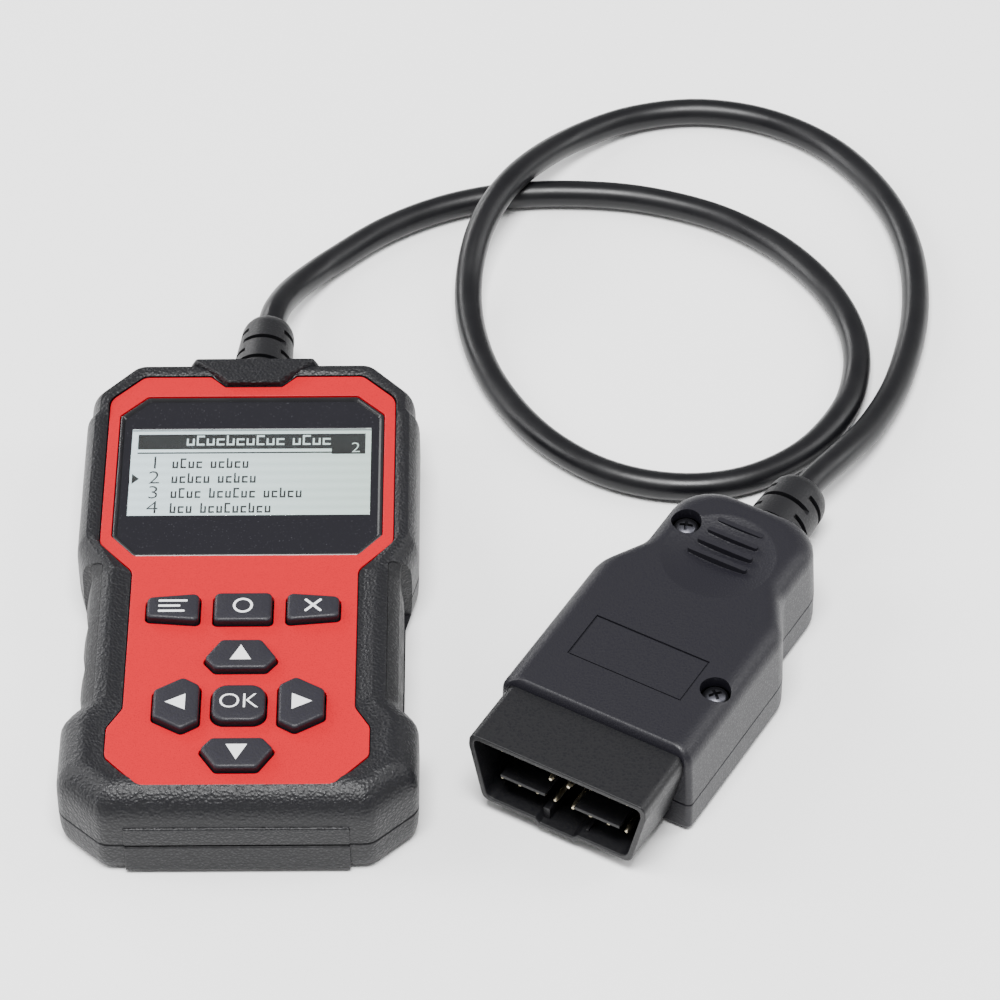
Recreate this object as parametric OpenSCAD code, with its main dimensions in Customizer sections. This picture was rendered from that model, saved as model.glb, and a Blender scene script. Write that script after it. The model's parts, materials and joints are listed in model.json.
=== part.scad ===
// Handheld OBD code reader: a keypad unit with a small screen, and a 16-way plug on a short cable.
// The unit lies on its back, +Y towards the cable, +Z out of the screen.

/* [Case] */
// Width of the case across the screen end
case_w = 69.6; // [66:0.2:84]
// Length of the case
case_l = 124; // [118:0.5:150]
// Height of the case frame above the surface it lies on
case_h = 21; // [20:0.1:26]
// Thickness of the case walls
wall = 2; // [1.6:0.1:2.4]
// Height of the joint between the two shells, and of the cable's axis
split_z = 8; // [7.6:0.1:9]
// How far the waist is narrower than the screen end, on each side
waist_cut = 2.5; // [1:0.1:4]
// How far the foot is wider than the screen end, on each side
foot_flare = 0.5; // [0:0.1:2]
// Length of the screen end, from the top edge to the waist
head_l = 60; // [56:0.5:64]
// Length of the foot, from the bottom edge to the waist
foot_l = 26; // [22:0.5:28]

/* [Face plate] */
// Thickness of the face plate
plate_t = 1.2; // [0.8:0.1:1.6]
// Depth of the face plate's top below the frame
plate_drop = 0.8; // [0.4:0.1:1.2]
// Gap round the face plate and round the screen window
seat_gap = 0.15; // [0.1:0.05:0.3]
// Width of the frame beside the face plate at the screen end
frame_w = 4.8; // [4:0.1:7]
// Width of the frame beside the face plate at the waist
waist_frame_w = 9.3; // [8.6:0.1:12]

/* [Screen] */
// Width of the window opening in the face plate
window_w = 55; // [48:0.5:57]
// Length of the window opening in the face plate
window_l = 46.4; // [40:0.5:48]
// Width of the display picture
picture_w = 49.6; // [40:0.2:50]
// Length of the display picture
picture_l = 25.4; // [20:0.2:28]
// Thickness of the clear window
lens_t = 0.9; // [0.7:0.1:1.1]

/* [Keys] */
// Height of the key tops above the face plate
key_rise = 1.6; // [1:0.1:2.4]
// Travel of a key
key_travel = 0.8; // [0.5:0.05:0.8]
// Gap round each key in the face plate
key_gap = 0.3; // [0.2:0.05:0.4]
// Width of the lip round each key below the deck
key_lip = 0.6; // [0.4:0.1:0.6]

/* [Inside] */
// Thickness of the main board
board_t = 1.6; // [1:0.2:2]
// Radius of the case screw bosses
boss_r = 3; // [2.6:0.1:3.4]
// Radius of the case screw shanks
screw_r = 1.1; // [0.9:0.05:1.3]

/* [Cable] */
// Diameter of the cable
cable_d = 6; // [5:0.1:6.4]
// Length of the handset strain relief outside the case
relief_l = 22.6; // [20:0.2:24]
// Radius of the strain relief where it leaves the case
relief_r = 6.8; // [6:0.1:7.2]

/* [Plug] */
// Width of the plug housing
plug_w = 43.4; // [42.6:0.2:50]
// Length of the plug housing, without the shroud
plug_l = 69; // [66:0.5:80]
// Height of the plug housing
plug_h = 22.3; // [22:0.1:27]
// Height of the joint between the plug shells
plug_split_z = 7.5; // [7.2:0.1:8.4]
// Width of the plug housing at its rear
plug_neck_w = 32.4; // [30:0.2:36]
// Wall of the plug shells
plug_wall = 2; // [1.6:0.1:2.2]
// Reach of the connector shroud in front of the housing
shroud_l = 15; // [13:0.5:18]

/* [Hidden] */
$fn = 48;
eps = 0.01;
loose = 0.05;          // clearance of parts that are held still
corner_steps = 2;      // segments in each rounded corner of an outline

// Heights in the case, from the frame's top down
plate_top = case_h - plate_drop;
deck_top = plate_top - plate_t;
deck_t = 1.8;
deck_z = deck_top - deck_t;
board_top = deck_z - 3.2;
board_z = board_top - board_t;
lens_top = deck_top + lens_t;
half_l = case_l / 2;
half_w = case_w / 2;

// ---------------------------------------------------------------- outlines
function unit(v) = v / norm(v);
function rev(v) = [for (i = [len(v) - 1:-1:0]) v[i]];
// The right half of an outline, and its mirror image
function both_sides(half) = concat(half, [for (p = rev(half)) [-p.x, p.y]]);
function moved(pts, by) = [for (p = pts) p + by];
function turned(pts, a) = [for (p = pts) [p.x * cos(a) - p.y * sin(a), p.x * sin(a) + p.y * cos(a)]];

// One rounded corner at b, between the edges to a and c
function corner(a, b, c, r) =
    let (u = unit(a - b), w = unit(c - b), turn = acos(max(-1, min(1, u * w))),
         room = 0.48 * min(norm(a - b), norm(c - b)), back = min(r / tan(turn / 2), room),
         rr = back * tan(turn / 2), mid = b + unit(u + w) * (rr / sin(turn / 2)),
         s = b + u * back - mid, e = b + w * back - mid, a0 = atan2(s.y, s.x),
         d0 = atan2(e.y, e.x) - a0, d = d0 > 180 ? d0 - 360 : d0 < -180 ? d0 + 360 : d0)
    [for (i = [0:corner_steps])
        mid + rr * [cos(a0 + d * i / corner_steps), sin(a0 + d * i / corner_steps)]];
// An outline with a rounded corner at each point; r is one radius or a list of them
function rounded(pts, r) = let (n = len(pts))
    [for (i = [0:n - 1])
        each corner(pts[(i + n - 1) % n], pts[i], pts[(i + 1) % n], is_list(r) ? r[i] : r)];
// An outline moved inwards by d; the points run clockwise seen from above
function inset(pts, d) = let (n = len(pts))
    [for (i = [0:n - 1])
        let (e1 = unit(pts[i] - pts[(i + n - 1) % n]), e2 = unit(pts[(i + 1) % n] - pts[i]),
             n1 = [e1.y, -e1.x], n2 = [e2.y, -e2.x])
        pts[i] + (n1 + n2) * (d / (1 + n1 * n2))];

// A closed skin through sections [height, outline], lowest first
module loft(sections) {
    n = len(sections[0][1]);
    m = len(sections);
    points = [for (s = sections) for (p = s[1]) [p.x, p.y, s[0]]];
    sides = [for (k = [0:m - 2]) for (j = [0:n - 1])
        let (a = k * n + j, b = k * n + (j + 1) % n)
        each [[a, b, b + n], [a, b + n, a + n]]];
    polyhedron(points, concat([[for (j = [n - 1:-1:0]) j]], sides,
        [[for (j = [0:n - 1]) (m - 1) * n + j]]));
}

// One closed mesh of its child
module one_mesh() minkowski() children(0);

// A straight round rod from p to q
module rod(p, q, r) {
    d = q - p;
    translate(p) rotate([0, acos(d.z / norm(d)), atan2(d.y, d.x)]) cylinder(h = norm(d), r = r, $fn = 24);
}

// The case outline's right half, corners still sharp; extra narrows the waist further
function case_half(extra = 0) =
    [[half_w - 9.8, half_l],
     [half_w - 0.9, half_l - 9.6],
     [half_w - 0.9, half_l - 14.6],
     [half_w, half_l - 16.2],
     [half_w, half_l - head_l + 8],
     [half_w - waist_cut - extra, half_l - head_l - 2],
     [half_w - waist_cut - extra, foot_l - half_l + 2.5],
     [half_w + foot_flare, foot_l - half_l - 2.5],
     [half_w + foot_flare, 8.4 - half_l],
     [half_w - 8.6, -half_l]];
case_radii = let (r = [3.5, 3.5, 0.8, 0.8, 7, 4, 2.5, 3, 4.5, 4]) concat(r, rev(r));
function case_ring(d, extra = 0) = rounded(inset(both_sides(case_half(extra)), d), case_radii);

// How far the case's surface draws in at each height: [height, inset]
back_levels = [[0, 2.2], [0.6, 1.2], [2.4, 0.4], [split_z, 0]];
// The front's: [height, inset of the foot and waist, inset of the head, whose edge is tighter]
front_levels = [[split_z, 0, 0], [case_h - 6, 0, 0], [case_h - 3.2, 1.2, 0.4], [case_h - 1.5, 2.7, 1.1],
    [case_h - 0.6, 4.4, 2.1], [case_h, 8.2, 5.4]];
// How much of the head's edge a place has, by its distance along the case
function head_part(y) = max(0, min(1, (y - half_l + head_l + 2) / 10));
function front_ring(level, d = 0) =
    let (foot = case_ring(level[1] + d), head = case_ring(level[2] + d))
    [for (i = [0:len(foot) - 1]) let (t = head_part(head[i].y)) foot[i] * (1 - t) + head[i] * t];

// ---------------------------------------------------------------- face plate, window and keys
plate_half =
    [[half_w - frame_w - 7, half_l - 4.7],
     [half_w - frame_w, half_l - 11.8],
     [half_w - frame_w, half_l - head_l + 6.2],
     [half_w - waist_cut - waist_frame_w, half_l - head_l - 1.6],
     [half_w - waist_cut - waist_frame_w, foot_l - half_l - 1],
     [half_w + foot_flare - waist_frame_w, foot_l - half_l - 6.2],
     [half_w + foot_flare - waist_frame_w, 12.2 - half_l],
     [half_w + foot_flare - waist_frame_w - 7, 4.6 - half_l]];
plate_radii = let (r = [2.5, 4, 2.5, 3, 2.5, 2.5, 2.5, 3]) concat(r, rev(r));
function plate_ring(d) = rounded(inset(both_sides(plate_half), d), plate_radii);

window_y = half_l - 34;
function window_ring(d) = rounded(inset(moved(both_sides(
    [[window_w / 2 - 5.6, window_l / 2],
     [window_w / 2, window_l / 2 - 5.6],
     [window_w / 2, 5.6 - window_l / 2],
     [window_w / 2 - 4.8, -window_l / 2]]), [0, window_y]), d), 1);
picture_y = window_y + 1.5;

// A bar of the frame that covers the cable exit: [half width, distance from the top edge]
exit_bar = moved(both_sides([[13.4, -0.35], [13.4, -0.9], [8.6, -4.9], [5.8, -7.7]]), [0, half_l]);
exit_bar_rise = 0.5;

pad_y = -half_l + 25.1;    // centre of the direction keys
row_y = -half_l + 51.1;    // centre of the function keys
row_pitch = 14.2;
// Outer keys of the pad: half widths at the inner edge, at the widest and at the outer edge,
// distance of the widest from the inner edge, and depth
function gem(inner, mid, outer, mid_at, depth) =
    both_sides([[outer, depth], [mid, mid_at], [inner, 0]]);
// Function key at the side, with its outer end shorter
function side_key(s) = s > 0 ? [[-5.2, 3.75], [5.2, 2.75], [5.2, -2.75], [-5.2, -3.75]]
    : [[-5.2, 2.75], [5.2, 3.75], [5.2, -3.75], [-5.2, -2.75]];
function box_pts(w, l) = [[-w / 2, l / 2], [w / 2, l / 2], [w / 2, -l / 2], [-w / 2, -l / 2]];
// Each key: [name, outline, corner radius]
keys = [
    ["key_left_function", moved(side_key(-1), [-row_pitch + 0.2, row_y]), 1.1],
    ["key_centre_function", moved(box_pts(11.5, 7.7), [0, row_y]), 1.1],
    ["key_right_function", moved(side_key(1), [row_pitch - 0.2, row_y]), 1.1],
    ["key_up", moved(gem(5, 7.2, 4, 2.8, 7.8), [0, pad_y + 9.2]), 1.1],
    ["key_down", moved(turned(gem(5, 7.2, 4, 2.8, 7.8), 180), [0, pad_y - 9.2]), 1.1],
    ["key_left", moved(turned(gem(4.8, 6.9, 3.5, 3.3, 9), 90), [-7.8, pad_y]), 1.2],
    ["key_right", moved(turned(gem(4.8, 6.9, 3.5, 3.3, 9), -90), [7.8, pad_y]), 1.2],
    ["key_ok", moved(box_pts(10.5, 9.6), [0, pad_y]), 2.9]];
function key_ring(k, d) = rounded(inset(k[1], d), k[2]);
function key_middle(k) =
    [for (i = [0:1]) (min([for (p = k[1]) p[i]]) + max([for (p = k[1]) p[i]])) / 2];
key_top = plate_top + key_rise;
key_foot_z = board_top + 0.6 + key_travel;
key_lip_t = 1;

module key(k) {
    color("#3a3a3e") {
        loft([[key_foot_z + key_lip_t - eps, key_ring(k, 0)], [key_top - 0.7, key_ring(k, 0)],
            [key_top - 0.2, key_ring(k, 0.25)], [key_top, key_ring(k, 0.8)]]);
        translate([0, 0, key_foot_z]) linear_extrude(key_lip_t) polygon(key_ring(k, -key_lip));
    }
}
module key_left_function() key(keys[0]);
module key_centre_function() key(keys[1]);
module key_right_function() key(keys[2]);
module key_up() key(keys[3]);
module key_down() key(keys[4]);
module key_left() key(keys[5]);
module key_right() key(keys[6]);
module key_ok() key(keys[7]);

module keypad_mat() {
    mat_w = 2 * (board_screw_at[1].x - board_post_r - 0.7);
    mat_y = [-half_l + 5.5, row_y + 6.5];
    color("#2c2c30") difference() {
        translate([-mat_w / 2, mat_y[0], board_top]) cube([mat_w, mat_y[1] - mat_y[0], 1]);
        for (k = keys) translate([0, 0, board_top - 1]) linear_extrude(3)
            polygon(key_ring(k, -key_lip - 0.3));
    }
}

module key_domes() {
    color("silver") for (k = keys) translate(concat(key_middle(k), board_top))
        rotate_extrude() polygon([[0, 0], [2.6, 0], [2.6, 0.1], [1.9, 0.3], [0, 0.4]]);
}

// ---------------------------------------------------------------- case
// Places of the case screws and of the board screws, right side
case_screw_at = [[half_w - 9.3, half_l - 12], [half_w - 8.5, 12.5 - half_l]];
board_screw_at = [[12, half_l - 11.5], [half_w - 11.6, 18.5 - half_l]];
clamp_screw_at = [8, half_l - 6.6];
screw_seat_z = 4;
board_post_r = 2;
board_screw_r = 0.8;

module at_both_sides(places) for (p = places) for (s = [-1, 1]) translate([s * p.x, p.y, 0]) children();

// The plan of a side grip, seen on the right side
grip_x = half_w - waist_cut - 3.5;
grip_y = [foot_l - half_l + 2.2, half_l - head_l - 1.2];
grip_z = 3;
grip_waves = 3;
function grip_plan(d) = rounded(inset(
    [[grip_x, grip_y[1] + 1.6], [half_w + 2, grip_y[1] + 5.3],
     [half_w + 2, grip_y[0] - 5.3], [grip_x, grip_y[0] - 1.6]], d), 1.2);
module grip_pocket(z0, z1) for (s = [0, 1]) mirror([s, 0, 0])
    translate([0, 0, z0]) linear_extrude(z1 - z0) polygon(grip_plan(0));

// The space inside the case, drawn in behind the grips
module case_space(z0, z1, d) translate([0, 0, z0]) linear_extrude(z1 - z0)
    polygon(case_ring(d, 3.5));

module cable_hole() translate([0, half_l - 10, split_z]) rotate([-90, 0, 0])
    cylinder(h = 20, r = relief_neck_r + loose);

module front_shell() {
    color("#2b2b2e") one_mesh() difference() {
        union() {
            difference() {
                union() {
                    loft([for (l = front_levels) [l[0], front_ring(l)]]);
                    translate([0, 0, split_z]) linear_extrude(case_h + exit_bar_rise - split_z)
                        polygon(rounded(exit_bar, 0.6));
                }
                case_space(split_z - eps, case_h - 6, wall);
                case_space(case_h - 6 - eps, deck_z, wall + 1.5);
                difference() {
                    translate([0, 0, deck_top]) linear_extrude(10) polygon(plate_ring(0));
                    translate([0, 0, deck_top - 1]) linear_extrude(12) polygon(rounded(exit_bar, 0.6));
                }
                grip_pocket(split_z - eps, case_h + 1);
            }
            at_both_sides(case_screw_at) translate([0, 0, split_z])
                cylinder(h = deck_z - split_z + eps, r = boss_r);
            at_both_sides(board_screw_at) translate([0, 0, board_top])
                cylinder(h = deck_z - board_top + eps, r = board_post_r);
        }
        // display opening, key openings, screw pilots and the cable's half of the end wall
        translate([-lcd_w / 2 - 0.2, lcd_y[0] - 0.2, deck_z - 1])
            cube([lcd_w + 0.4, lcd_y[1] - lcd_y[0] + 0.4, 4]);
        for (k = keys) translate([0, 0, deck_z - 1]) linear_extrude(deck_t + 2)
            polygon(key_ring(k, -key_gap));
        at_both_sides(case_screw_at) translate([0, 0, split_z - 1])
            cylinder(h = deck_z - split_z, r = screw_r + loose);
        at_both_sides(board_screw_at) translate([0, 0, board_top - 1])
            cylinder(h = 3.6, r = board_screw_r + loose);
        cable_hole();
    }
}

module back_shell() {
    color("#262628") one_mesh() difference() {
        union() {
            difference() {
                loft([for (l = back_levels) [l[0], case_ring(l[1])]]);
                case_space(wall, split_z + eps, wall);
                grip_pocket(grip_z, split_z + 1);
            }
            at_both_sides(case_screw_at) translate([0, 0, wall - eps])
                cylinder(h = split_z - wall + eps, r = boss_r + 0.4);
            at_both_sides([clamp_screw_at]) translate([0, 0, wall - eps])
                cylinder(h = tail_top - wall + eps, r = 2);
        }
        at_both_sides(case_screw_at) translate([0, 0, -1]) cylinder(h = screw_seat_z + 1, r = 2.5);
        at_both_sides(case_screw_at) translate([0, 0, -1]) cylinder(h = split_z + 2, r = screw_r + 0.2);
        at_both_sides([clamp_screw_at]) translate([0, 0, wall + 2])
            cylinder(h = split_z + 4, r = board_screw_r + loose);
        translate([-label_w / 2, label_y - label_l / 2, -eps])
            cube([label_w, label_l, label_recess + eps]);
        cable_hole();
    }
}

label_w = 42;
label_l = 30;
label_y = -half_l + 52;
label_recess = 0.4;
module rating_label() color("#c9cbcd")
    translate([-label_w / 2 + 0.4, label_y - label_l / 2 + 0.4, 0.2])
        cube([label_w - 0.8, label_l - 0.8, label_recess - 0.2]);

module side_grip() {
    grip_levels = concat([[grip_z, 0.55, 0.55]], [for (l = front_levels) [l[0], l[1] + 0.35, l[2] + 0.35]]);
    pitch = (grip_y[1] - grip_y[0]) / grip_waves;
    color("#1f1f21") one_mesh() difference() {
        intersection() {
            loft([for (l = grip_levels) [l[0], front_ring(l)]]);
            translate([0, 0, grip_z - 1]) linear_extrude(case_h) polygon(grip_plan(loose));
        }
        for (i = [0:grip_waves]) translate([half_w - waist_cut + 11, grip_y[0] + i * pitch, 0])
            cylinder(h = case_h + 1, r = 12.2, $fn = 96);
    }
}
module right_grip() side_grip();
module left_grip() mirror([1, 0, 0]) side_grip();

module face_plate() {
    color("#d8343a") difference() {
        translate([0, 0, deck_top]) linear_extrude(plate_t) difference() {
            polygon(plate_ring(seat_gap));
            polygon(window_ring(0));
            for (k = keys) polygon(key_ring(k, -key_gap));
        }
        translate([0, 0, deck_top - 1]) linear_extrude(plate_t + 2)
            polygon(rounded(inset(exit_bar, -seat_gap), 0.6));
    }
}

module screen_window() color([0.75, 0.8, 0.82, 0.5])
    translate([0, 0, deck_top]) linear_extrude(lens_t) polygon(window_ring(seat_gap));

// ---------------------------------------------------------------- display
lcd_w = picture_w + 2.6;
lcd_y = [picture_y - picture_l / 2 - 1.8, picture_y + picture_l / 2 + 1.4];
lcd_l = lcd_y[1] - lcd_y[0];
lcd_top = deck_top - 0.3;
lcd_skin = 0.4;
glass_t = 1.2;

module lcd_frame() color("#8a8d90") difference() {
    translate([-lcd_w / 2, lcd_y[0], board_top]) cube([lcd_w, lcd_l, lcd_top - board_top]);
    translate([-lcd_w / 2 + lcd_skin, lcd_y[0] + lcd_skin, board_top - 1])
        cube([lcd_w - 2 * lcd_skin, lcd_l - 2 * lcd_skin, lcd_top - board_top + 1 - lcd_skin]);
    translate([-picture_w / 2 - 0.3, picture_y - picture_l / 2 - 0.3, board_top])
        cube([picture_w + 0.6, picture_l + 0.6, 10]);
}

module lcd_glass() color("#cfdde0")
    translate([-lcd_w / 2 + lcd_skin + loose, lcd_y[0] + lcd_skin + loose, lcd_top - lcd_skin - glass_t])
        cube([lcd_w - 2 * (lcd_skin + loose), lcd_l - 2 * (lcd_skin + loose), glass_t]);

module lcd_backlight() color("white")
    translate([-lcd_w / 2 + lcd_skin + loose, lcd_y[0] + lcd_skin + loose, board_top])
        cube([lcd_w - 2 * (lcd_skin + loose), lcd_l - 2 * (lcd_skin + loose),
            lcd_top - lcd_skin - glass_t - board_top]);

ribbon_l = 6;
module lcd_ribbon() color("#c28a2c")
    translate([-9, lcd_y[0] - ribbon_l, board_top]) cube([18, ribbon_l, 0.3]);
module ribbon_socket() color("#e8e2d2")
    translate([-10.5, lcd_y[0] - ribbon_l - 3, board_top]) cube([21, 3, 1.4]);

// ---------------------------------------------------------------- main board and what it carries
board_end = half_l - 8.6;
module main_board() color("#1d6b3c") difference() {
    translate([0, 0, board_z]) linear_extrude(board_t) intersection() {
        polygon(case_ring(wall + 1.7, 3.5));
        translate([-case_w, -case_l]) square([2 * case_w, case_l + board_end]);
    }
    at_both_sides(case_screw_at) translate([0, 0, board_z - 1])
        cylinder(h = board_t + 2, r = boss_r + 0.3);
    at_both_sides(board_screw_at) translate([0, 0, board_z - 1])
        cylinder(h = board_t + 2, r = board_screw_r + 0.2);
}

module board_screws() color("silver") at_both_sides(board_screw_at) {
    translate([0, 0, board_z - 1.2]) cylinder(h = 1.2, r = 1.7);
    translate([0, 0, board_z - eps]) cylinder(h = board_t + 2 + eps, r = board_screw_r);
}

module case_screws() color("silver") at_both_sides(case_screw_at) difference() {
    union() {
        translate([0, 0, screw_seat_z - 1.5]) cylinder(h = 1.5, r = 2.2);
        translate([0, 0, screw_seat_z - eps]) cylinder(h = 11, r = screw_r);
    }
    for (a = [0, 90]) rotate(a) translate([-1.3, -0.3, screw_seat_z - 1.6]) cube([2.6, 0.6, 0.9]);
}

// A part on the underside of the board, size [x, y, height], centred at [x, y]
module under_board(at, size) translate([at.x - size.x / 2, at.y - size.y / 2, board_z - size.z])
    cube(size);
module processor() color("#202022") under_board([0, 22], [14, 14, 1.4]);
module memory_chip() color("#202022") under_board([-15, 22], [6, 8, 1.5]);
module bus_driver() color("#202022") under_board([15, 27], [6, 5, 1.6]);
module voltage_regulator() color("#202022") under_board([20, 38], [6.5, 6, 2.3]);
module supply_coil() color("#4a4a4c") under_board([12.5, 40], [7, 7, 3.2]);
module filter_capacitors() color("#3b4660") for (p = [[-22, 36], [-22, 26], [22, 17]])
    translate([p.x, p.y, board_z - 7]) cylinder(h = 7, r = 3.2);
module clock_crystal() color("silver") under_board([0, 10], [11, 4.6, 3]);
module buzzer() color("#151515") difference() {
    translate([0, -20, board_z - 6]) cylinder(h = 6, r = 6);
    translate([0, -20, board_z - 7]) cylinder(h = 2, r = 1);
}

header_y = board_end - 5.4;
module cable_header() color("#e9e6dc") difference() {
    under_board([0, header_y], [14, 5.8, 5]);
    translate([-6.5, header_y - 2.3, board_z - 6]) cube([13, 4.6, 5]);
}
module crimp_housing() color("#dedad0")
    translate([-6.4, header_y - 2.2, board_z - 8]) cube([12.8, 4.4, 7]);

// ---------------------------------------------------------------- cable entry
relief_neck_r = 4.6;
relief_lean = -5;
relief_tip_r = 4.3;
relief_base_y = half_l + 0.2;
// The flange that the case wall holds
flange_t = 2;
flange_y = half_l - wall - loose - flange_t;
tail_r = cable_d / 2 - 0.1;
tail_top = split_z + tail_r;

// A tapered sleeve along +Z with staggered slots and a rounded tip
module relief_sleeve(length, r0, r1) {
    slot = 0.9;
    pitch = 3.2;
    rows = floor((length - 6) / pitch);
    difference() {
        rotate_extrude() polygon([[0, 0], [r0, 0], [r1 + 0.9, length - 2.6],
            [r1 + 0.6, length - 1], [r1 - 0.1, length], [0, length]]);
        for (i = [0:rows - 1]) translate([0, 0, length - 8 - i * pitch]) rotate(90 * (i % 2))
            for (s = [0, 1]) mirror([s, 0, 0]) translate([cable_d / 2 + 1, -10, 0]) cube([10, 20, slot]);
    }
}

module handset_strain_relief() color("#1c1c1e") {
    translate([-7.5, flange_y, wall + loose]) cube([15, flange_t, 2 * (split_z - wall - loose)]);
    translate([0, flange_y + flange_t - eps, split_z]) rotate([-90, 0, 0])
        cylinder(h = relief_base_y - flange_y - flange_t + 2 * eps, r = relief_neck_r);
    translate([0, relief_base_y, split_z]) rotate([0, 0, relief_lean]) rotate([-90, 0, 0])
        translate([0, 0, 0.45]) relief_sleeve(relief_l - 0.45, relief_r, relief_tip_r);
    translate([0, relief_base_y, split_z]) rotate([-90, 0, 0]) cylinder(h = 1.2, r = relief_neck_r);
}

module cable_tail() color("#1a1a1c") translate([0, flange_y - 4.2, split_z]) rotate([-90, 0, 0])
    cylinder(h = 4.2, r = tail_r);
module cable_clamp() color("#2a2a2d") difference() {
    translate([-10.5, clamp_screw_at.y - 1.6, tail_top]) cube([21, 3.2, 2]);
    at_both_sides([clamp_screw_at]) translate([0, 0, tail_top - 1])
        cylinder(h = 4, r = board_screw_r + 0.2);
}
module clamp_screws() color("silver") at_both_sides([clamp_screw_at]) {
    translate([0, 0, tail_top + 2]) cylinder(h = 1.2, r = 1.6);
    translate([0, 0, wall + 2.5]) cylinder(h = tail_top - wall, r = board_screw_r);
}
module inner_wires() {
    end_y = flange_y - 4.2;
    low_z = wall + 0.8;
    color("#b8452e") for (i = [-2:2]) {
        top = [2.4 * i, header_y, board_z - 8];
        low = [2.4 * i, header_y, low_z];
        past = [1.8 * i, header_y + 3.6, low_z];
        near = [1.1 * i, end_y - 1, split_z - 1.2 + 0.5 * abs(i)];
        end = [1.1 * i, end_y, split_z - 1.2 + 0.5 * abs(i)];
        rod(low, top, 0.5);
        translate(low) sphere(0.65, $fn = 24);
        rod(low, past, 0.5);
        translate(past) sphere(0.65, $fn = 24);
        rod(past, near, 0.5);
        translate(near) sphere(0.6, $fn = 24);
        rod(near - [0, 0.25, 0], end, 0.5);
    }
}

// ---------------------------------------------------------------- cable
// Place of the plug's mouth, and the plug's turn
plug_at = [62, -54.4];
plug_turn = -30.7;
function plug_point(p) = let (q = turned([[p.x, p.y]], plug_turn)[0] + plug_at) [q.x, q.y, p.z];

// Route of the cable's centre, from the handset to the plug, chosen by hand
cable_route = [
    [2, 84.7, 8], [3, 90.7, 7.6], [4.8, 96.4, 6.4], [7.4, 101.8, 5], [10.8, 107, 3.8], [15, 112, 3.1],
    [26, 122, 3], [38.5, 129.2, 3], [52, 133.2, 3], [66.5, 134.2, 3], [83, 132.4, 3], [99, 126.6, 3],
    [111.3, 117.8, 3], [120, 107.6, 3], [125.6, 97, 3], [128.4, 86, 3], [128.2, 75, 3], [124.8, 63.4, 3],
    [116, 51, 3], [103, 42.8, 3], [88, 41, 3], [73, 45.6, 3], [60, 56.6, 3], [50.6, 72, 3],
    [45.8, 88, 3.2], [44.8, 102, 5], [47, 115, 8.2], [51.8, 126.8, 9.4], [58.6, 138.4, 8],
    [68.6, 150.6, 5], [82, 159.6, 3.2], [98, 162.2, 3], [114, 158, 3], [128, 147.4, 3], [138, 131, 3],
    [142.4, 113, 3], [142, 93, 3], [137.4, 73.4, 3.2], [130.8, 58.4, 4.2], [124, 47.6, 6.2]];
cable_end = plug_point([0, 103.2, plug_split_z]);
cable_before_end = plug_point([0, 107.4, plug_split_z]);
cable_points = concat(cable_route, [cable_before_end, cable_end]);
cable_sides = 10;

// A smooth curve through the route, two rings to each stretch
function between(p, i, t) =
    let (n = len(p), a = p[max(i - 1, 0)], b = p[i], c = p[min(i + 1, n - 1)], d = p[min(i + 2, n - 1)])
    0.5 * (2 * b + (c - a) * t + (2 * a - 5 * b + 4 * c - d) * t * t + (3 * b - a - 3 * c + d) * t * t * t);
function smooth(p) = concat([for (i = [0:len(p) - 2]) each
    (norm(p[i + 1] - p[i]) > 9 ? [p[i], between(p, i, 0.5)] : [p[i]])], [p[len(p) - 1]]);
function ring_at(mid, dir, r) =
    let (side = unit(cross(dir, [0, 0, 1])), up = cross(side, dir))
    [for (k = [0:cable_sides - 1]) let (a = 360 * k / cable_sides) mid + r * (cos(a) * side + sin(a) * up)];
module tube(path, r, start_dir, end_dir) {
    n = len(path);
    dirs = [for (i = [0:n - 1])
        i == 0 ? start_dir : i == n - 1 ? end_dir : unit(path[i + 1] - path[i - 1])];
    rings = [for (i = [0:n - 1]) each ring_at(path[i], dirs[i], r)];
    m = cable_sides;
    skin = [for (i = [0:n - 2]) for (k = [0:m - 1])
        let (a = i * m + k, b = i * m + (k + 1) % m) each [[a, b, b + m], [a, b + m, a + m]]];
    polyhedron(rings, concat([[for (k = [m - 1:-1:0]) k]], skin, [[for (k = [0:m - 1]) (n - 1) * m + k]]));
}
module cable() color("#232325")
    tube(smooth(cable_points), cable_d / 2,
        [sin(-relief_lean), cos(relief_lean), 0], unit(cable_end - cable_before_end));

// ---------------------------------------------------------------- plug
shroud_front = 0;
housing_front = shroud_l;
housing_back = housing_front + plug_l;
module in_plug() translate([plug_at.x, plug_at.y, 0]) rotate(plug_turn) children();

// Section of the housing: drawn in by side at the flanks and by front at the front
function plug_ring(side, front) = rounded(both_sides(
    [[plug_neck_w / 2 - side, housing_back - side],
     [plug_neck_w / 2 - side, housing_back - 21],
     [plug_w / 2 - side, housing_back - 30.5],
     [plug_w / 2 - side, housing_front + front]]),
    [9, 7, 9, 1.5, 1.5, 9, 7, 9]);
module plug_space(z0, z1) translate([0, 0, z0]) linear_extrude(z1 - z0)
    polygon(plug_ring(plug_wall, plug_wall));

shroud_z = [3, 20.4];
shroud_w = [33.4, 39.6];
shroud_t = 1.2;
shroud_depth = 13;
// Cross-section of the shroud, seen from the front: wide at the top, drawn in by d
function shroud_pts(d) = rounded(inset(both_sides(
    [[shroud_w[1] / 2 - 0.2, shroud_z[1]], [shroud_w[1] / 2, 17], [shroud_w[0] / 2, shroud_z[0]],
     [5.2, shroud_z[0]], [4, shroud_z[0] - 1]]), d),
    let (r = [1.6, 3, 2, 0.6, 0.6]) concat(r, rev(r)));
module shroud_block(y0, y1, d) translate([0, y1, 0]) rotate([90, 0, 0]) linear_extrude(y1 - y0)
    polygon(shroud_pts(d));

groove_y = [housing_front + plug_wall + 0.4, housing_front + plug_wall + 2.4];
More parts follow.
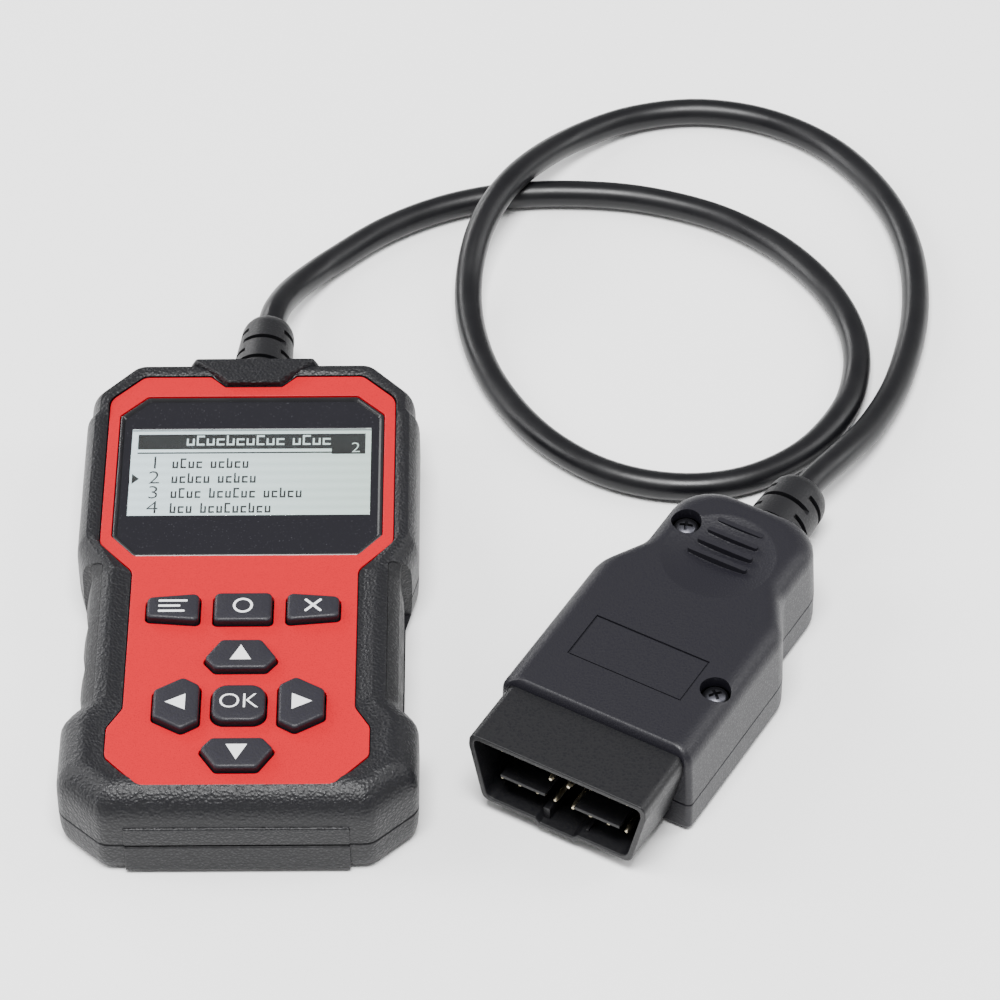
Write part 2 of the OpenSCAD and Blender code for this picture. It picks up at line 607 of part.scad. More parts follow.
// The plate of the connector that the shells hold, drawn in by d
module groove_block(d) translate([0, groove_y[1] - d, 0]) rotate([90, 0, 0])
    linear_extrude(groove_y[1] - groove_y[0] - 2 * d) polygon(inset(both_sides(
        [[plug_w / 2 - 6, plug_h - 1.2], [plug_w / 2 - 1.2, plug_h - 6],
         [plug_w / 2 - 1.2, 2.4], [plug_w / 2 - 2.4, 1.2]]), d));

plug_screw_at = [[-10.5, housing_back - 13], [plug_w / 2 - 4.7, housing_front + 18]];
plug_head_z = plug_h - 1.7;
module at_plug_screws() for (p = plug_screw_at) translate([p.x, p.y, 0]) children();
module plug_relief_hole() translate([0, housing_back - 10, plug_split_z]) rotate([-90, 0, 0])
    cylinder(h = 20, r = relief_neck_r + loose);

top_levels = [[plug_split_z, 0, 0], [plug_h - 4.4, 0.4, 0], [plug_h - 2.6, 0.9, 0.1],
    [plug_h - 1.2, 2.1, 0.6],
    [plug_h - 0.4, 3.6, 1.6], [plug_h, 5.4, 3]];
bottom_levels = [[0, 1.3, 1.1], [0.4, 0.6, 0.5], [1.2, 0.2, 0.1], [plug_split_z, 0, 0]];
dish_r = 60;
dish_depth = 1.2;
dish_y = housing_back - 18.5;
rib_pitch = 3.33;

module plug_top_shell() color("#343438") one_mesh() in_plug() difference() {
    union() {
        difference() {
            loft([for (l = top_levels) [l[0], plug_ring(l[1], l[2])]]);
            plug_space(plug_split_z - eps, plug_h - plug_wall - 0.5);
            translate([0, dish_y, plug_h + dish_r - dish_depth]) sphere(dish_r, $fn = 96);
            translate([-13, housing_front + 11.8, plug_h - 0.3]) cube([25.6, 12, 1]);
        }
        for (i = [0:3]) let (w = 13.4 - i)
            translate([-w / 2, dish_y - 1.25 + i * rib_pitch, plug_h - 2.2]) cube([w, 1.1, 2.1]);
        at_plug_screws() translate([0, 0, plug_split_z])
            cylinder(h = plug_h - plug_split_z - plug_wall - 0.4, r = 3.7);
    }
    at_plug_screws() translate([0, 0, plug_head_z - 1.6]) cylinder(h = 10, r = 3.15);
    at_plug_screws() translate([0, 0, plug_split_z - 1]) cylinder(h = plug_h, r = screw_r + 0.2);
    shroud_block(-1, housing_front + plug_wall + 1, -loose);
    groove_block(0);
    plug_relief_hole();
}

module plug_bottom_shell() color("#303034") one_mesh() in_plug() difference() {
    union() {
        difference() {
            loft([for (l = bottom_levels) [l[0], plug_ring(l[1], l[2])]]);
            plug_space(plug_wall, plug_split_z + eps);
        }
        at_plug_screws() translate([0, 0, plug_wall - eps])
            cylinder(h = plug_split_z - plug_wall + eps, r = 3.4);
    }
    at_plug_screws() translate([0, 0, plug_wall]) cylinder(h = plug_split_z, r = screw_r + loose);
    shroud_block(-1, housing_front + plug_wall + 1, -loose);
    groove_block(0);
    plug_relief_hole();
}

module plug_screws() color("#3c3c40") in_plug() at_plug_screws() difference() {
    union() {
        translate([0, 0, plug_head_z - 1.6]) cylinder(h = 1.6, r = 2.4);
        translate([0, 0, plug_wall + 0.5]) cylinder(h = plug_head_z - plug_wall - 2, r = screw_r);
    }
    for (a = [0, 90]) rotate(a) translate([-1.4, -0.35, plug_head_z - 0.9]) cube([2.8, 0.7, 1]);
}

pin_z = [7.7, 15.7];
pin_pitch = 4;
pin_back = groove_y[1] + 5;
blade_x = [3.3, 13.4];
module plug_connector() color("#19191b") in_plug() difference() {
    union() {
        difference() {
            shroud_block(shroud_front, groove_y[1], 0);
            shroud_block(shroud_front - 1, shroud_depth, shroud_t);
        }
        groove_block(loose);
        intersection() {
            shroud_block(shroud_front, groove_y[1], 0.2);
            union() {
                for (s = [-1, 1]) translate([s > 0 ? blade_x[0] : -blade_x[1], 1.4, 9.8])
                    cube([blade_x[1] - blade_x[0], shroud_depth, 0.8]);
                translate([-3.9, 1.8, 2]) cube([1.5, shroud_depth, 4]);
                translate([5.7, 1.8, 2]) cube([0.6, shroud_depth, 3]);
            }
        }
    }
    for (z = pin_z) for (i = [-3.5:3.5]) translate([i * pin_pitch, 5, z]) rotate([-90, 0, 0])
        cylinder(h = 30, r = 0.75, $fn = 24);
}
module plug_pins() color("#c9b06a") in_plug()
    for (z = pin_z) for (i = [-3.5:3.5]) let (tip = z > 10 && abs(i) < 1 ? 1.2 : 3)
        translate([i * pin_pitch, tip, z]) rotate([-90, 0, 0]) {
            translate([0, 0, 0.5]) cylinder(h = pin_back - tip - 0.5, r = 0.75, $fn = 24);
            cylinder(h = 0.5, r1 = 0.4, r2 = 0.75, $fn = 24);
        }

plug_flange_y = housing_back - plug_wall - loose - flange_t;
module plug_strain_relief() color("#1c1c1e") in_plug() {
    translate([-relief_neck_r - 0.5, plug_flange_y, plug_wall + loose])
        cube([2 * relief_neck_r + 1, flange_t, 2 * (plug_split_z - plug_wall - loose)]);
    translate([0, plug_flange_y + flange_t - eps, plug_split_z]) rotate([-90, 0, 0])
        cylinder(h = housing_back + 0.3 - plug_flange_y - flange_t + 2 * eps, r = relief_neck_r);
    translate([0, housing_back + 0.2, plug_split_z]) rotate([-90, 0, 0])
        relief_sleeve(103.2 - housing_back - 0.2, relief_r + 0.2, relief_tip_r + 0.7);
}
module plug_tail() color("#1a1a1c") in_plug() translate([0, plug_flange_y - 8, plug_split_z])
    rotate([-90, 0, 0])
    cylinder(h = 8, r = tail_r);
module plug_wires() color("#b8452e") in_plug() {
    end_y = plug_flange_y - 8;
    for (i = [-2:2]) {
        start = [pin_pitch * (i - 0.5), pin_back, pin_z[0]];
        near = [1.1 * i, end_y - 1, plug_split_z - 0.5 + 0.4 * abs(i)];
        rod(start, near, 0.45);
        translate(near) sphere(0.52, $fn = 24);
        rod(near, near + [0, 1, 0], 0.45);
    }
}

front_shell();
back_shell();
face_plate();
screen_window();
lcd_frame();
lcd_glass();
lcd_backlight();
lcd_ribbon();
ribbon_socket();
main_board();
processor();
memory_chip();
bus_driver();
voltage_regulator();
supply_coil();
filter_capacitors();
clock_crystal();
buzzer();
cable_header();
crimp_housing();
inner_wires();
cable_tail();
cable_clamp();
clamp_screws();
board_screws();
case_screws();
keypad_mat();
key_domes();
key_left_function();
key_centre_function();
key_right_function();
key_up();
key_down();
key_left();
key_right();
key_ok();
left_grip();
right_grip();
rating_label();
handset_strain_relief();
cable();
plug_strain_relief();
plug_top_shell();
plug_bottom_shell();
plug_connector();
plug_pins();
plug_screws();
plug_tail();
plug_wires();
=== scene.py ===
"""Looks of a handheld OBD code reader: the case with its keys and display, the cable, and the plug.

Lengths in the geometry code are millimetres; mesh() turns them into metres.
"""
import json
import math

import bmesh
import bpy
from bpy.props import FloatProperty, IntProperty, PointerProperty
from mathutils import Matrix, Vector


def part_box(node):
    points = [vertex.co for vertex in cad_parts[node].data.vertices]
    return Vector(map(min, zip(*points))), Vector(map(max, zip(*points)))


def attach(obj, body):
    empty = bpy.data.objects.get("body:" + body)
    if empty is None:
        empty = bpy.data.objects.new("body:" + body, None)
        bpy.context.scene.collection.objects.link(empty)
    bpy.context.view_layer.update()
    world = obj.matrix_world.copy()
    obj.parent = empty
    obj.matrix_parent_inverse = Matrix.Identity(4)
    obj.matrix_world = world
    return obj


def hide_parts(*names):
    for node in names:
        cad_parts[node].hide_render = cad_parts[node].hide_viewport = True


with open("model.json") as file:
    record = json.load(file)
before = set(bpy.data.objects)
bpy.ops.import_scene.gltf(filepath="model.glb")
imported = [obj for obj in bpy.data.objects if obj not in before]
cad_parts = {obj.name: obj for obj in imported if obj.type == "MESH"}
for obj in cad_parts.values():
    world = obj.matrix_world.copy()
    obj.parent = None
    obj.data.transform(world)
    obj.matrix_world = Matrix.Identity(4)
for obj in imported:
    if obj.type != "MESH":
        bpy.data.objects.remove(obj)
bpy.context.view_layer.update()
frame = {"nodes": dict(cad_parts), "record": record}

bl_info = {
    "name": "OBD code reader",
    "version": (1, 0, 0),
    "blender": (4, 5, 0),
    "location": "View3D > Sidebar > Code reader",
    "description": "Builds the case, keys, display, cable and plug of a handheld code reader",
    "category": "Object",
}

MM = 0.001


def low(node):
    """The lower corner of a node's box, in millimetres."""
    return [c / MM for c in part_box(node)[0]]


def high(node):
    """The upper corner of a node's box, in millimetres."""
    return [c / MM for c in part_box(node)[1]]


# Heights and places that the pieces share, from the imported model
SPLIT = low("front_shell")[2]
CASE_TOP = high("left_grip")[2]
HALF_L = high("back_shell")[1]
FOOT_W = high("front_shell")[0]
HALF_W = FOOT_W - 0.5
PLATE_TOP = high("face_plate")[2]
DECK = low("face_plate")[2]
KEY_TOP = high("key_ok")[2]
LCD_TOP = high("lcd_frame")[2]
PLUG_TOP = high("plug_top_shell")[2]
PLUG_SPLIT = high("plug_bottom_shell")[2]
# Lengths of the head and the foot, the waist's narrowing on each side, the frame's width beside the plate
# at the head and at the waist, and the gap round the window
HEAD_L, FOOT_L, WAIST_CUT, HEAD_FRAME, WAIST_FRAME, WINDOW_GAP = 60, 26, 2.5, 4.8, 9.3, 0.15


class ReaderSettings(bpy.types.PropertyGroup):
    """Sizes that can be changed before the pieces are built"""

    cable_diameter: FloatProperty(
        name="Cable diameter", description="Outside diameter of the cable's jacket",
        default=0.006, min=0.004, max=0.008, unit="LENGTH", subtype="DISTANCE")
    edge_round: FloatProperty(
        name="Edge rounding", description="Radius of the moulded edges of the case and the plug",
        default=0.00035, min=0.0001, max=0.0008, unit="LENGTH", subtype="DISTANCE")
    key_round: FloatProperty(
        name="Key rounding", description="Radius of the edges of the key tops",
        default=0.0007, min=0.0002, max=0.001, unit="LENGTH", subtype="DISTANCE")
    grain_size: FloatProperty(
        name="Grain size", description="Spacing of the pebbles in the case's moulded grain",
        default=0.00062, min=0.0003, max=0.002, unit="LENGTH", subtype="DISTANCE")
    corner_steps: IntProperty(
        name="Corner steps", description="Segments in each rounded corner of an outline",
        default=7, min=2, max=16)


def settings():
    return bpy.context.scene.code_reader


# ---------------------------------------------------------------- outlines, run clockwise from above
def both_sides(half):
    """The right half of an outline, and its mirror image."""
    return list(half) + [(-x, y) for x, y in reversed(half)]


def oblong(w, l):
    """A rectangle about the origin from half its width and half its length."""
    return [(-w, l), (w, l), (w, -l), (-w, -l)]


def moved(points, dx, dy):
    return [(x + dx, y + dy) for x, y in points]


def turned(points, degrees):
    c, s = math.cos(math.radians(degrees)), math.sin(math.radians(degrees))
    return [(x * c - y * s, x * s + y * c) for x, y in points]


def rounded(points, radii, steps=None):
    """An outline with a rounded corner at each point; radii is one radius or a list."""
    steps = steps or settings().corner_steps
    count, out = len(points), []
    for i, p in enumerate(points):
        r = radii[i] if isinstance(radii, (list, tuple)) else radii
        b = Vector(p)
        a, c = Vector(points[i - 1]) - b, Vector(points[(i + 1) % count]) - b
        turn = a.angle(c)
        back = min(r / math.tan(turn / 2), 0.48 * a.length, 0.48 * c.length)
        radius = back * math.tan(turn / 2)
        middle = b + (a.normalized() + c.normalized()).normalized() * (radius / math.sin(turn / 2))
        start, end = b + a.normalized() * back - middle, b + c.normalized() * back - middle
        first = math.atan2(start.y, start.x)
        sweep = (math.atan2(end.y, end.x) - first + math.pi) % (2 * math.pi) - math.pi
        for k in range(steps + 1):
            angle = first + sweep * k / steps
            out.append((middle.x + radius * math.cos(angle), middle.y + radius * math.sin(angle)))
    return out


def inset(points, distance):
    """An outline moved inwards by a distance."""
    out = []
    for i, p in enumerate(points):
        b = Vector(p)
        before = (b - Vector(points[i - 1])).normalized()
        after = (Vector(points[(i + 1) % len(points)]) - b).normalized()
        n1, n2 = Vector((before.y, -before.x)), Vector((after.y, -after.x))
        q = b + (n1 + n2) * (distance / (1 + n1.dot(n2)))
        out.append((q.x, q.y))
    return out


# ---------------------------------------------------------------- meshes
def mesh(name, points, faces):
    """A new object from points in millimetres."""
    data = bpy.data.meshes.new(name)
    data.from_pydata([Vector(p) * MM for p in points], [], faces)
    work = bmesh.new()
    work.from_mesh(data)
    bmesh.ops.recalc_face_normals(work, faces=work.faces)
    work.to_mesh(data)
    work.free()
    obj = bpy.data.objects.new(name, data)
    bpy.context.scene.collection.objects.link(obj)
    return obj


def skin(name, rings, closed=True):
    """A skin through rings of equal count, capped at both ends."""
    count = len(rings[0])
    points = [p for ring in rings for p in ring]
    faces = []
    for k in range(len(rings) - 1):
        here, above = k * count, (k + 1) * count
        for j in range(count):
            after = (j + 1) % count
            faces.append((here + j, here + after, above + after, above + j))
    if closed:
        faces += [tuple(range(count)), tuple((len(rings) - 1) * count + j for j in range(count))]
    return mesh(name, points, faces)


def loft(name, sections):
    """A skin through sections, each a height and an outline."""
    return skin(name, [[(x, y, z) for x, y in outline] for z, outline in sections])


def prism(name, outline, z0, z1):
    return loft(name, [(z0, outline), (z1, outline)])


def box(name, x0, x1, y0, y1, z0, z1):
    return prism(name, [(x0, y1), (x1, y1), (x1, y0), (x0, y0)], z0, z1)


def lathe(name, profile, at=(0, 0, 0), turn=None, steps=64):
    """A body turned about its own Z axis from a profile of (radius, height), placed at a point."""
    rings = [[(r * math.cos(2 * math.pi * k / steps), r * math.sin(2 * math.pi * k / steps), z)
              for k in range(steps)] for r, z in profile]
    return place(skin(name, rings), at, turn)


def spin(degrees, axis="Z"):
    return Matrix.Rotation(math.radians(degrees), 4, axis)


def place(obj, at=(0, 0, 0), turn=None):
    """Turns a mesh and moves it, in millimetres, keeping the object at the origin."""
    obj.data.transform(Matrix.Translation(Vector(at) * MM) @ (turn or Matrix()))
    return obj


def bake(obj):
    """Applies an object's modifiers to its mesh."""
    graph = bpy.context.evaluated_depsgraph_get()
    data = bpy.data.meshes.new_from_object(obj.evaluated_get(graph))
    obj.modifiers.clear()
    obj.data = data
    return obj


def combine(obj, others, operation):
    """Cuts, joins or intersects an object with others, which are used up."""
    for other in others:
        work = obj.modifiers.new("combine", "BOOLEAN")
        work.operation, work.solver, work.object = operation, "EXACT", other
        bake(obj)
        bpy.data.objects.remove(other)
    return obj


def cut(obj, *others):
    return combine(obj, others, "DIFFERENCE")


def weld_on(obj, *others):
    return combine(obj, others, "UNION")


def join(name, objects):
    """Several meshes as the loose parts of one."""
    work = bmesh.new()
    for obj in objects:
        work.from_mesh(obj.data)
    data = bpy.data.meshes.new(name)
    work.to_mesh(data)
    work.free()
    for obj in objects:
        bpy.data.objects.remove(obj)
    obj = bpy.data.objects.new(name, data)
    bpy.context.scene.collection.objects.link(obj)
    return obj


def round_edges(obj, width, segments=3, angle=35):
    """Rounds the sharp edges, by a width in millimetres."""
    clean = bmesh.new()
    clean.from_mesh(obj.data)
    bmesh.ops.remove_doubles(clean, verts=clean.verts, dist=0.00001)
    bmesh.ops.dissolve_limit(clean, angle_limit=math.radians(0.5), verts=clean.verts, edges=clean.edges)
    clean.to_mesh(obj.data)
    clean.free()
    work = obj.modifiers.new("edges", "BEVEL")
    work.width, work.segments, work.limit_method = width * MM, segments, "ANGLE"
    work.angle_limit = math.radians(angle)
    work.use_clamp_overlap = True
    return bake(obj)


def piece(obj, material, body="root", stands_for=(), sharp=40):
    """Finishes a piece: smooth shading with crisp edges, its material, its body and its nodes."""
    work = bmesh.new()
    work.from_mesh(obj.data)
    for face in work.faces:
        face.smooth = True
    for edge in work.edges:
        edge.smooth = len(edge.link_faces) == 2 and edge.calc_face_angle(0) < math.radians(sharp)
    work.to_mesh(obj.data)
    work.free()
    even = obj.modifiers.new("even", "WEIGHTED_NORMAL")
    even.keep_sharp = True
    bake(obj)
    obj.data.materials.clear()
    obj.data.materials.append(material)
    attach(obj, body)
    if stands_for:
        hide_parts(*stands_for)
    return obj


# ---------------------------------------------------------------- materials
def linear(code):
    """An sRGB hex colour as linear RGBA."""
    parts = [int(code[i:i + 2], 16) / 255 for i in (1, 3, 5)]
    return tuple(c / 12.92 if c <= 0.04045 else ((c + 0.055) / 1.055) ** 2.4 for c in parts) + (1.0,)


def add(tree, kind, inputs=None, **options):
    """Adds a shader node, sets its options, and sets or links its inputs."""
    node = tree.nodes.new("ShaderNode" + kind)
    for key, value in options.items():
        setattr(node, key, value)
    for key, value in (inputs or {}).items():
        if isinstance(value, bpy.types.NodeSocket):
            tree.links.new(value, node.inputs[key])
        else:
            node.inputs[key].default_value = value
    return node


def surface(name, inputs):
    """A new material with a Principled shader: the material, its tree, the shader and its coordinates."""
    material = bpy.data.materials.new(name)
    material.use_nodes = True
    tree = material.node_tree
    tree.nodes.clear()
    shader = add(tree, "BsdfPrincipled", inputs)
    add(tree, "OutputMaterial", {"Surface": shader.outputs["BSDF"]})
    where = add(tree, "TexCoord").outputs["Object"]
    return material, tree, shader, where


def feed(tree, shader, colour=None, gloss=None, bump=None):
    """Links a material's patterns to its shader."""
    for key, node, output in (("Base Color", colour, 2), ("Roughness", gloss, 0), ("Normal", bump, 0)):
        if node:
            tree.links.new(node.outputs[output], shader.inputs[key])


def per_mm(size):
    """Scale of a pattern whose features are that many millimetres apart, in metre coordinates."""
    return 1 / (size * MM)


def grained_abs(name, colour, sheen_colour, roughness, grain, depth, fine=0.35):
    """Spark-eroded ABS: pebbled grain from the mould, with a fine frosting between the pebbles."""
    material, tree, shader, where = surface(
        name, {"Base Color": linear(colour), "Roughness": roughness, "IOR": 1.54,
               "Specular IOR Level": 0.3})
    # the mould's pebbles
    pebbles = add(tree, "TexVoronoi", {"Vector": where, "Scale": per_mm(grain), "Smoothness": 0.4},
                  feature="SMOOTH_F1")
    # their uneven heights
    uneven = add(tree, "TexNoise",
                 {"Vector": where, "Scale": per_mm(grain * 1.1), "Detail": 2.0, "Roughness": 0.5})
    # frosting that catches small glints
    frost = add(tree, "TexNoise",
                {"Vector": where, "Scale": per_mm(fine), "Detail": 2.0, "Roughness": 0.5})
    relief = add(tree, "Math", {0: uneven.outputs["Fac"], 1: pebbles.outputs["Distance"]},
                 operation="SUBTRACT")
    coarse = add(tree, "Bump",
                 {"Height": relief.outputs[0], "Strength": 1.0, "Distance": depth * MM})
    both = add(tree, "Bump", {"Height": frost.outputs["Fac"], "Strength": 0.5,
                              "Distance": depth * MM * 0.35, "Normal": coarse.outputs["Normal"]})
    # pebble tops polished by handling are a little smoother, and a painted sheen makes them a little
    # lighter
    tops = add(tree, "MapRange", {"Value": relief.outputs[0], "From Min": 0.0, "From Max": 0.45,
                                  "To Min": 0.0, "To Max": 1.0})
    # painted sheen: the pebble tops are mixed towards a lighter colour
    mix = add(tree, "Mix", {0: tops.outputs[0], 6: linear(colour), 7: linear(sheen_colour)}, data_type="RGBA")
    gloss = add(tree, "MapRange", {"Value": tops.outputs[0], "To Min": roughness + 0.08,
                                   "To Max": roughness - 0.06})
    feed(tree, shader, mix, gloss, both)
    return material


def satin_paint(name, colour, speck, roughness):
    """Sprayed satin paint on polycarbonate: a faint orange peel and scattered fine dark specks."""
    material, tree, shader, where = surface(
        name, {"Base Color": linear(colour), "Roughness": roughness, "IOR": 1.5,
               "Specular IOR Level": 0.25})
    # orange peel left by the spray
    peel = add(tree, "TexNoise", {"Vector": where, "Scale": per_mm(0.5), "Detail": 4.0})
    bump = add(tree, "Bump", {"Height": peel.outputs["Fac"], "Strength": 0.6, "Distance": 0.02 * MM})
    # specks in the paint
    specks = add(tree, "TexNoise",
                 {"Vector": where, "Scale": per_mm(0.22), "Detail": 2.0, "Roughness": 0.7})
    mask = add(tree, "MapRange",
               {"Value": specks.outputs["Fac"], "From Min": 0.52, "From Max": 0.75})
    mix = add(tree, "Mix", {0: mask.outputs[0], 6: linear(colour), 7: linear(speck)}, data_type="RGBA")
    feed(tree, shader, mix, bump=bump)
    return material


def smooth_polymer(name, colour, dust, roughness, ior, ripple=0.3, depth=0.01, specular=0.5):
    """Extruded or pressed polymer: slow ripples along it, fine dust and slight smears in the gloss."""
    material, tree, shader, where = surface(
        name, {"Base Color": linear(colour), "Roughness": roughness, "IOR": ior,
               "Specular IOR Level": specular})
    # ripples from the die or the press
    waves = add(tree, "TexNoise", {"Vector": where, "Scale": per_mm(ripple), "Detail": 3.0})
    bump = add(tree, "Bump",
               {"Height": waves.outputs["Fac"], "Strength": 0.6, "Distance": depth * MM})
    # smears that break up the gloss
    smear = add(tree, "TexNoise", {"Vector": where, "Scale": per_mm(9), "Detail": 4.0})
    gloss = add(tree, "MapRange", {"Value": smear.outputs["Fac"], "From Min": 0.3, "From Max": 0.7,
                                   "To Min": max(roughness - 0.05, 0.02), "To Max": roughness + 0.07})
    # settled dust
    motes = add(tree, "TexNoise", {"Vector": where, "Scale": per_mm(0.4), "Detail": 1.0})
    mask = add(tree, "MapRange",
               {"Value": motes.outputs["Fac"], "From Min": 0.66, "From Max": 0.8})
    mix = add(tree, "Mix", {0: mask.outputs[0], 6: linear(colour), 7: linear(dust)}, data_type="RGBA")
    feed(tree, shader, mix, gloss, bump)
    return material


def drawn_metal(name, colour, dull, roughness, grain=0.2):
    """Stamped, drawn or plated metal: fine tooling lines and a mottled plating."""
    material, tree, shader, where = surface(
        name, {"Base Color": linear(colour), "Metallic": 1.0, "Roughness": roughness})
    # tooling lines
    lines = add(tree, "TexNoise", {"Vector": where, "Scale": per_mm(grain), "Detail": 3.0})
    bump = add(tree, "Bump",
               {"Height": lines.outputs["Fac"], "Strength": 0.4, "Distance": 0.004 * MM})
    # mottle of the plating
    mottle = add(tree, "TexNoise", {"Vector": where, "Scale": per_mm(1.5), "Detail": 4.0})
    mix = add(tree, "Mix", {0: mottle.outputs["Fac"], 6: linear(colour), 7: linear(dull)}, data_type="RGBA")
    gloss = add(tree, "MapRange", {"Value": mottle.outputs["Fac"], "To Min": roughness - 0.06,
                                   "To Max": roughness + 0.1})
    feed(tree, shader, mix, gloss, bump)
    return material


def lit_display():
    """Backlit liquid crystal: cool white that drifts to green-grey, with the fine lines of its pixels."""
    material, tree, shader, where = surface(
        "lcd_backlit", {"Base Color": linear("#101418"), "Roughness": 0.3, "IOR": 1.5,
                        "Emission Strength": 2.5})
    # drift of the light guide's colour from the lamps' side to the far side
    parts = add(tree, "SeparateXYZ", {0: where})
    drift = add(tree, "MapRange",
                {"Value": parts.outputs["X"], "From Min": -0.025, "From Max": 0.025})
    light = add(tree, "Mix", {0: drift.outputs[0], 6: linear("#DCECF2"), 7: linear("#C6D6CF")},
                data_type="RGBA")
    # gaps between the rows of pixels
    rows = add(tree, "TexWave", {"Vector": where, "Scale": per_mm(0.4) / 20}, bands_direction="Y")
    dim = add(tree, "MapRange", {"Value": rows.outputs["Fac"], "To Min": 0.9, "To Max": 1.0})
    shade = add(tree, "Mix", {0: 1.0, 6: light.outputs[2], 7: dim.outputs[0]}, data_type="RGBA",
                blend_type="MULTIPLY")
    tree.links.new(shade.outputs[2], shader.inputs["Emission Color"])
    return material


def clear_pane():
    """Clear polycarbonate: smooth, with slight rubbing marks in the gloss."""
    material, tree, shader, where = surface(
        "polycarbonate_clear", {"Base Color": linear("#F2F6F5"), "Roughness": 0.03, "IOR": 1.585,
                                "Transmission Weight": 1.0})
    # rubbing marks
    marks = add(tree, "TexNoise", {"Vector": where, "Scale": per_mm(6), "Detail": 5.0})
    gloss = add(tree, "MapRange", {"Value": marks.outputs["Fac"], "To Min": 0.01, "To Max": 0.06})
    feed(tree, shader, gloss=gloss)
    return material


LOOKS = {}


def materials():
    """Every material of the object, by what it is, made at the first call."""
    if LOOKS:
        return LOOKS
    grain = settings().grain_size / MM
    LOOKS.update({
        # the second colour of each grained material is a painted sheen on its pebble tops
        "case": grained_abs("abs_black_pebbled", "#08080C", "#0E0E13", 0.4, grain, 0.12),
        "back": grained_abs("abs_black_pebbled_back", "#08080C", "#0E0E13", 0.44, grain, 0.1),
        "grip": grained_abs("rubber_soft_touch", "#060609", "#0B0B0F", 0.5, grain, 0.12),
        "plug": grained_abs("abs_black_fine", "#0E0D14", "#131219", 0.4, 0.45, 0.03),
        "nylon": grained_abs("nylon_glass_filled", "#08080B", "#0D0D11", 0.4, 0.6, 0.02),
        "key": grained_abs("abs_charcoal_keys", "#16151C", "#1F1E26", 0.42, 0.5, 0.035, 0.25),
        "relief": grained_abs("pvc_moulded_matte", "#08080B", "#0E0E12", 0.45, 0.5, 0.03),
        "plate": satin_paint("paint_red_satin", "#AC0216", "#7C0610", 0.42),
        "border": smooth_polymer("polycarbonate_printed_border", "#0C0B12", "#2E2E33", 0.14, 1.585, 4,
                                 0.004),
        "rim": smooth_polymer("polycarbonate_bevelled_rim", "#0A0A0E", "#18181A", 0.3, 1.585, 4, 0.004),
        "cable": smooth_polymer("pvc_jacket", "#08080B", "#131317", 0.36, 1.53, 1.2, 0.03, 0.3),
        "legend": smooth_polymer("ink_light_grey", "#D9DADC", "#B5B6B8", 0.5, 1.5),
        "wire": smooth_polymer("pvc_insulation_red", "#9E1B12", "#C4554A", 0.4, 1.53),
        "label": smooth_polymer("polyester_label_blank", "#C6C8CA", "#A9ABAD", 0.42, 1.57),
        "board": smooth_polymer("solder_mask_green", "#0D4423", "#3F7A55", 0.3, 1.5, 0.8),
        "epoxy": smooth_polymer("epoxy_moulded", "#151517", "#2A2A2D", 0.5, 1.55),
        "natural": smooth_polymer("nylon_natural", "#E2DDCF", "#C9C3B2", 0.45, 1.53),
        "silicone": smooth_polymer("silicone_mat", "#26262A", "#3A3A3F", 0.6, 1.41),
        "film": smooth_polymer("polyimide_film", "#8F4F12", "#B5762F", 0.3, 1.7),
        "guide": smooth_polymer("acrylic_light_guide", "#E8EEF1", "#CBD3D7", 0.25, 1.49),
        "ink": smooth_polymer("lcd_segments_dark", "#0E1317", "#1A2025", 0.35, 1.5),
        "display": lit_display(),
        "pane": clear_pane(),
        "contact": drawn_metal("brass_tin_plated", "#DAD2BC", "#B9AE92", 0.28),
        "zinc": drawn_metal("steel_zinc_plated", "#B9BBBF", "#94969A", 0.32),
        "black_zinc": drawn_metal("steel_black_zinc", "#5A5A60", "#3A3A40", 0.38),
        "can": drawn_metal("aluminium_sleeved", "#AEB3BC", "#8C919A", 0.35),
    })
    return LOOKS


# ---------------------------------------------------------------- shapes of the case
def case_half(extra=0.0):
    """The right half of the case's outline, corners sharp; extra narrows the waist further."""
    waist = HALF_W - WAIST_CUT - extra
    return [(HALF_W - 9.8, HALF_L), (HALF_W - 0.9, HALF_L - 9.6), (HALF_W - 0.9, HALF_L - 14.6),
            (HALF_W, HALF_L - 16.2), (HALF_W, HALF_L - HEAD_L + 8), (waist, HALF_L - HEAD_L - 2),
            (waist, FOOT_L + 2.5 - HALF_L), (FOOT_W, FOOT_L - 2.5 - HALF_L), (FOOT_W, 8.4 - HALF_L),
            (HALF_W - 8.6, -HALF_L)]


CASE_RADII = [3.5, 3.5, 0.8, 0.8, 7, 4, 2.5, 3, 4.5, 4]


def case_ring(d, extra=0.0):
    """The case's outline moved inwards."""
    return rounded(inset(both_sides(case_half(extra)), d), CASE_RADII + CASE_RADII[::-1])


# Height and insets of the front shell's skin: upright sides that pillow over into the top at the foot
# and the waist, and turn over more tightly to a crease at the head
FRONT_PROFILE = [(SPLIT, 0.3, 0.3), (SPLIT + 0.3, 0, 0), (12, 0, 0), (14.5, 0.06, 0.03), (16, 0.34, 0.14),
                 (17.2, 0.82, 0.34), (18.2, 1.45, 0.62), (19, 2.15, 0.95), (19.7, 2.95, 1.35),
                 (20.3, 3.9, 1.8), (20.62, 4.8, 2.1), (20.85, 6.2, 3.6), (CASE_TOP, 8.2, 5.4)]


def front_ring(foot_inset, head_inset):
    """The case's outline with one inset at the foot and the waist and another at the head."""
    ring = []
    for foot, head in zip(case_ring(foot_inset), case_ring(head_inset)):
        part = min(max((head[1] - HALF_L + HEAD_L + 2) / 10, 0), 1)
        ring.append((foot[0] + (head[0] - foot[0]) * part, foot[1] + (head[1] - foot[1]) * part))
    return ring


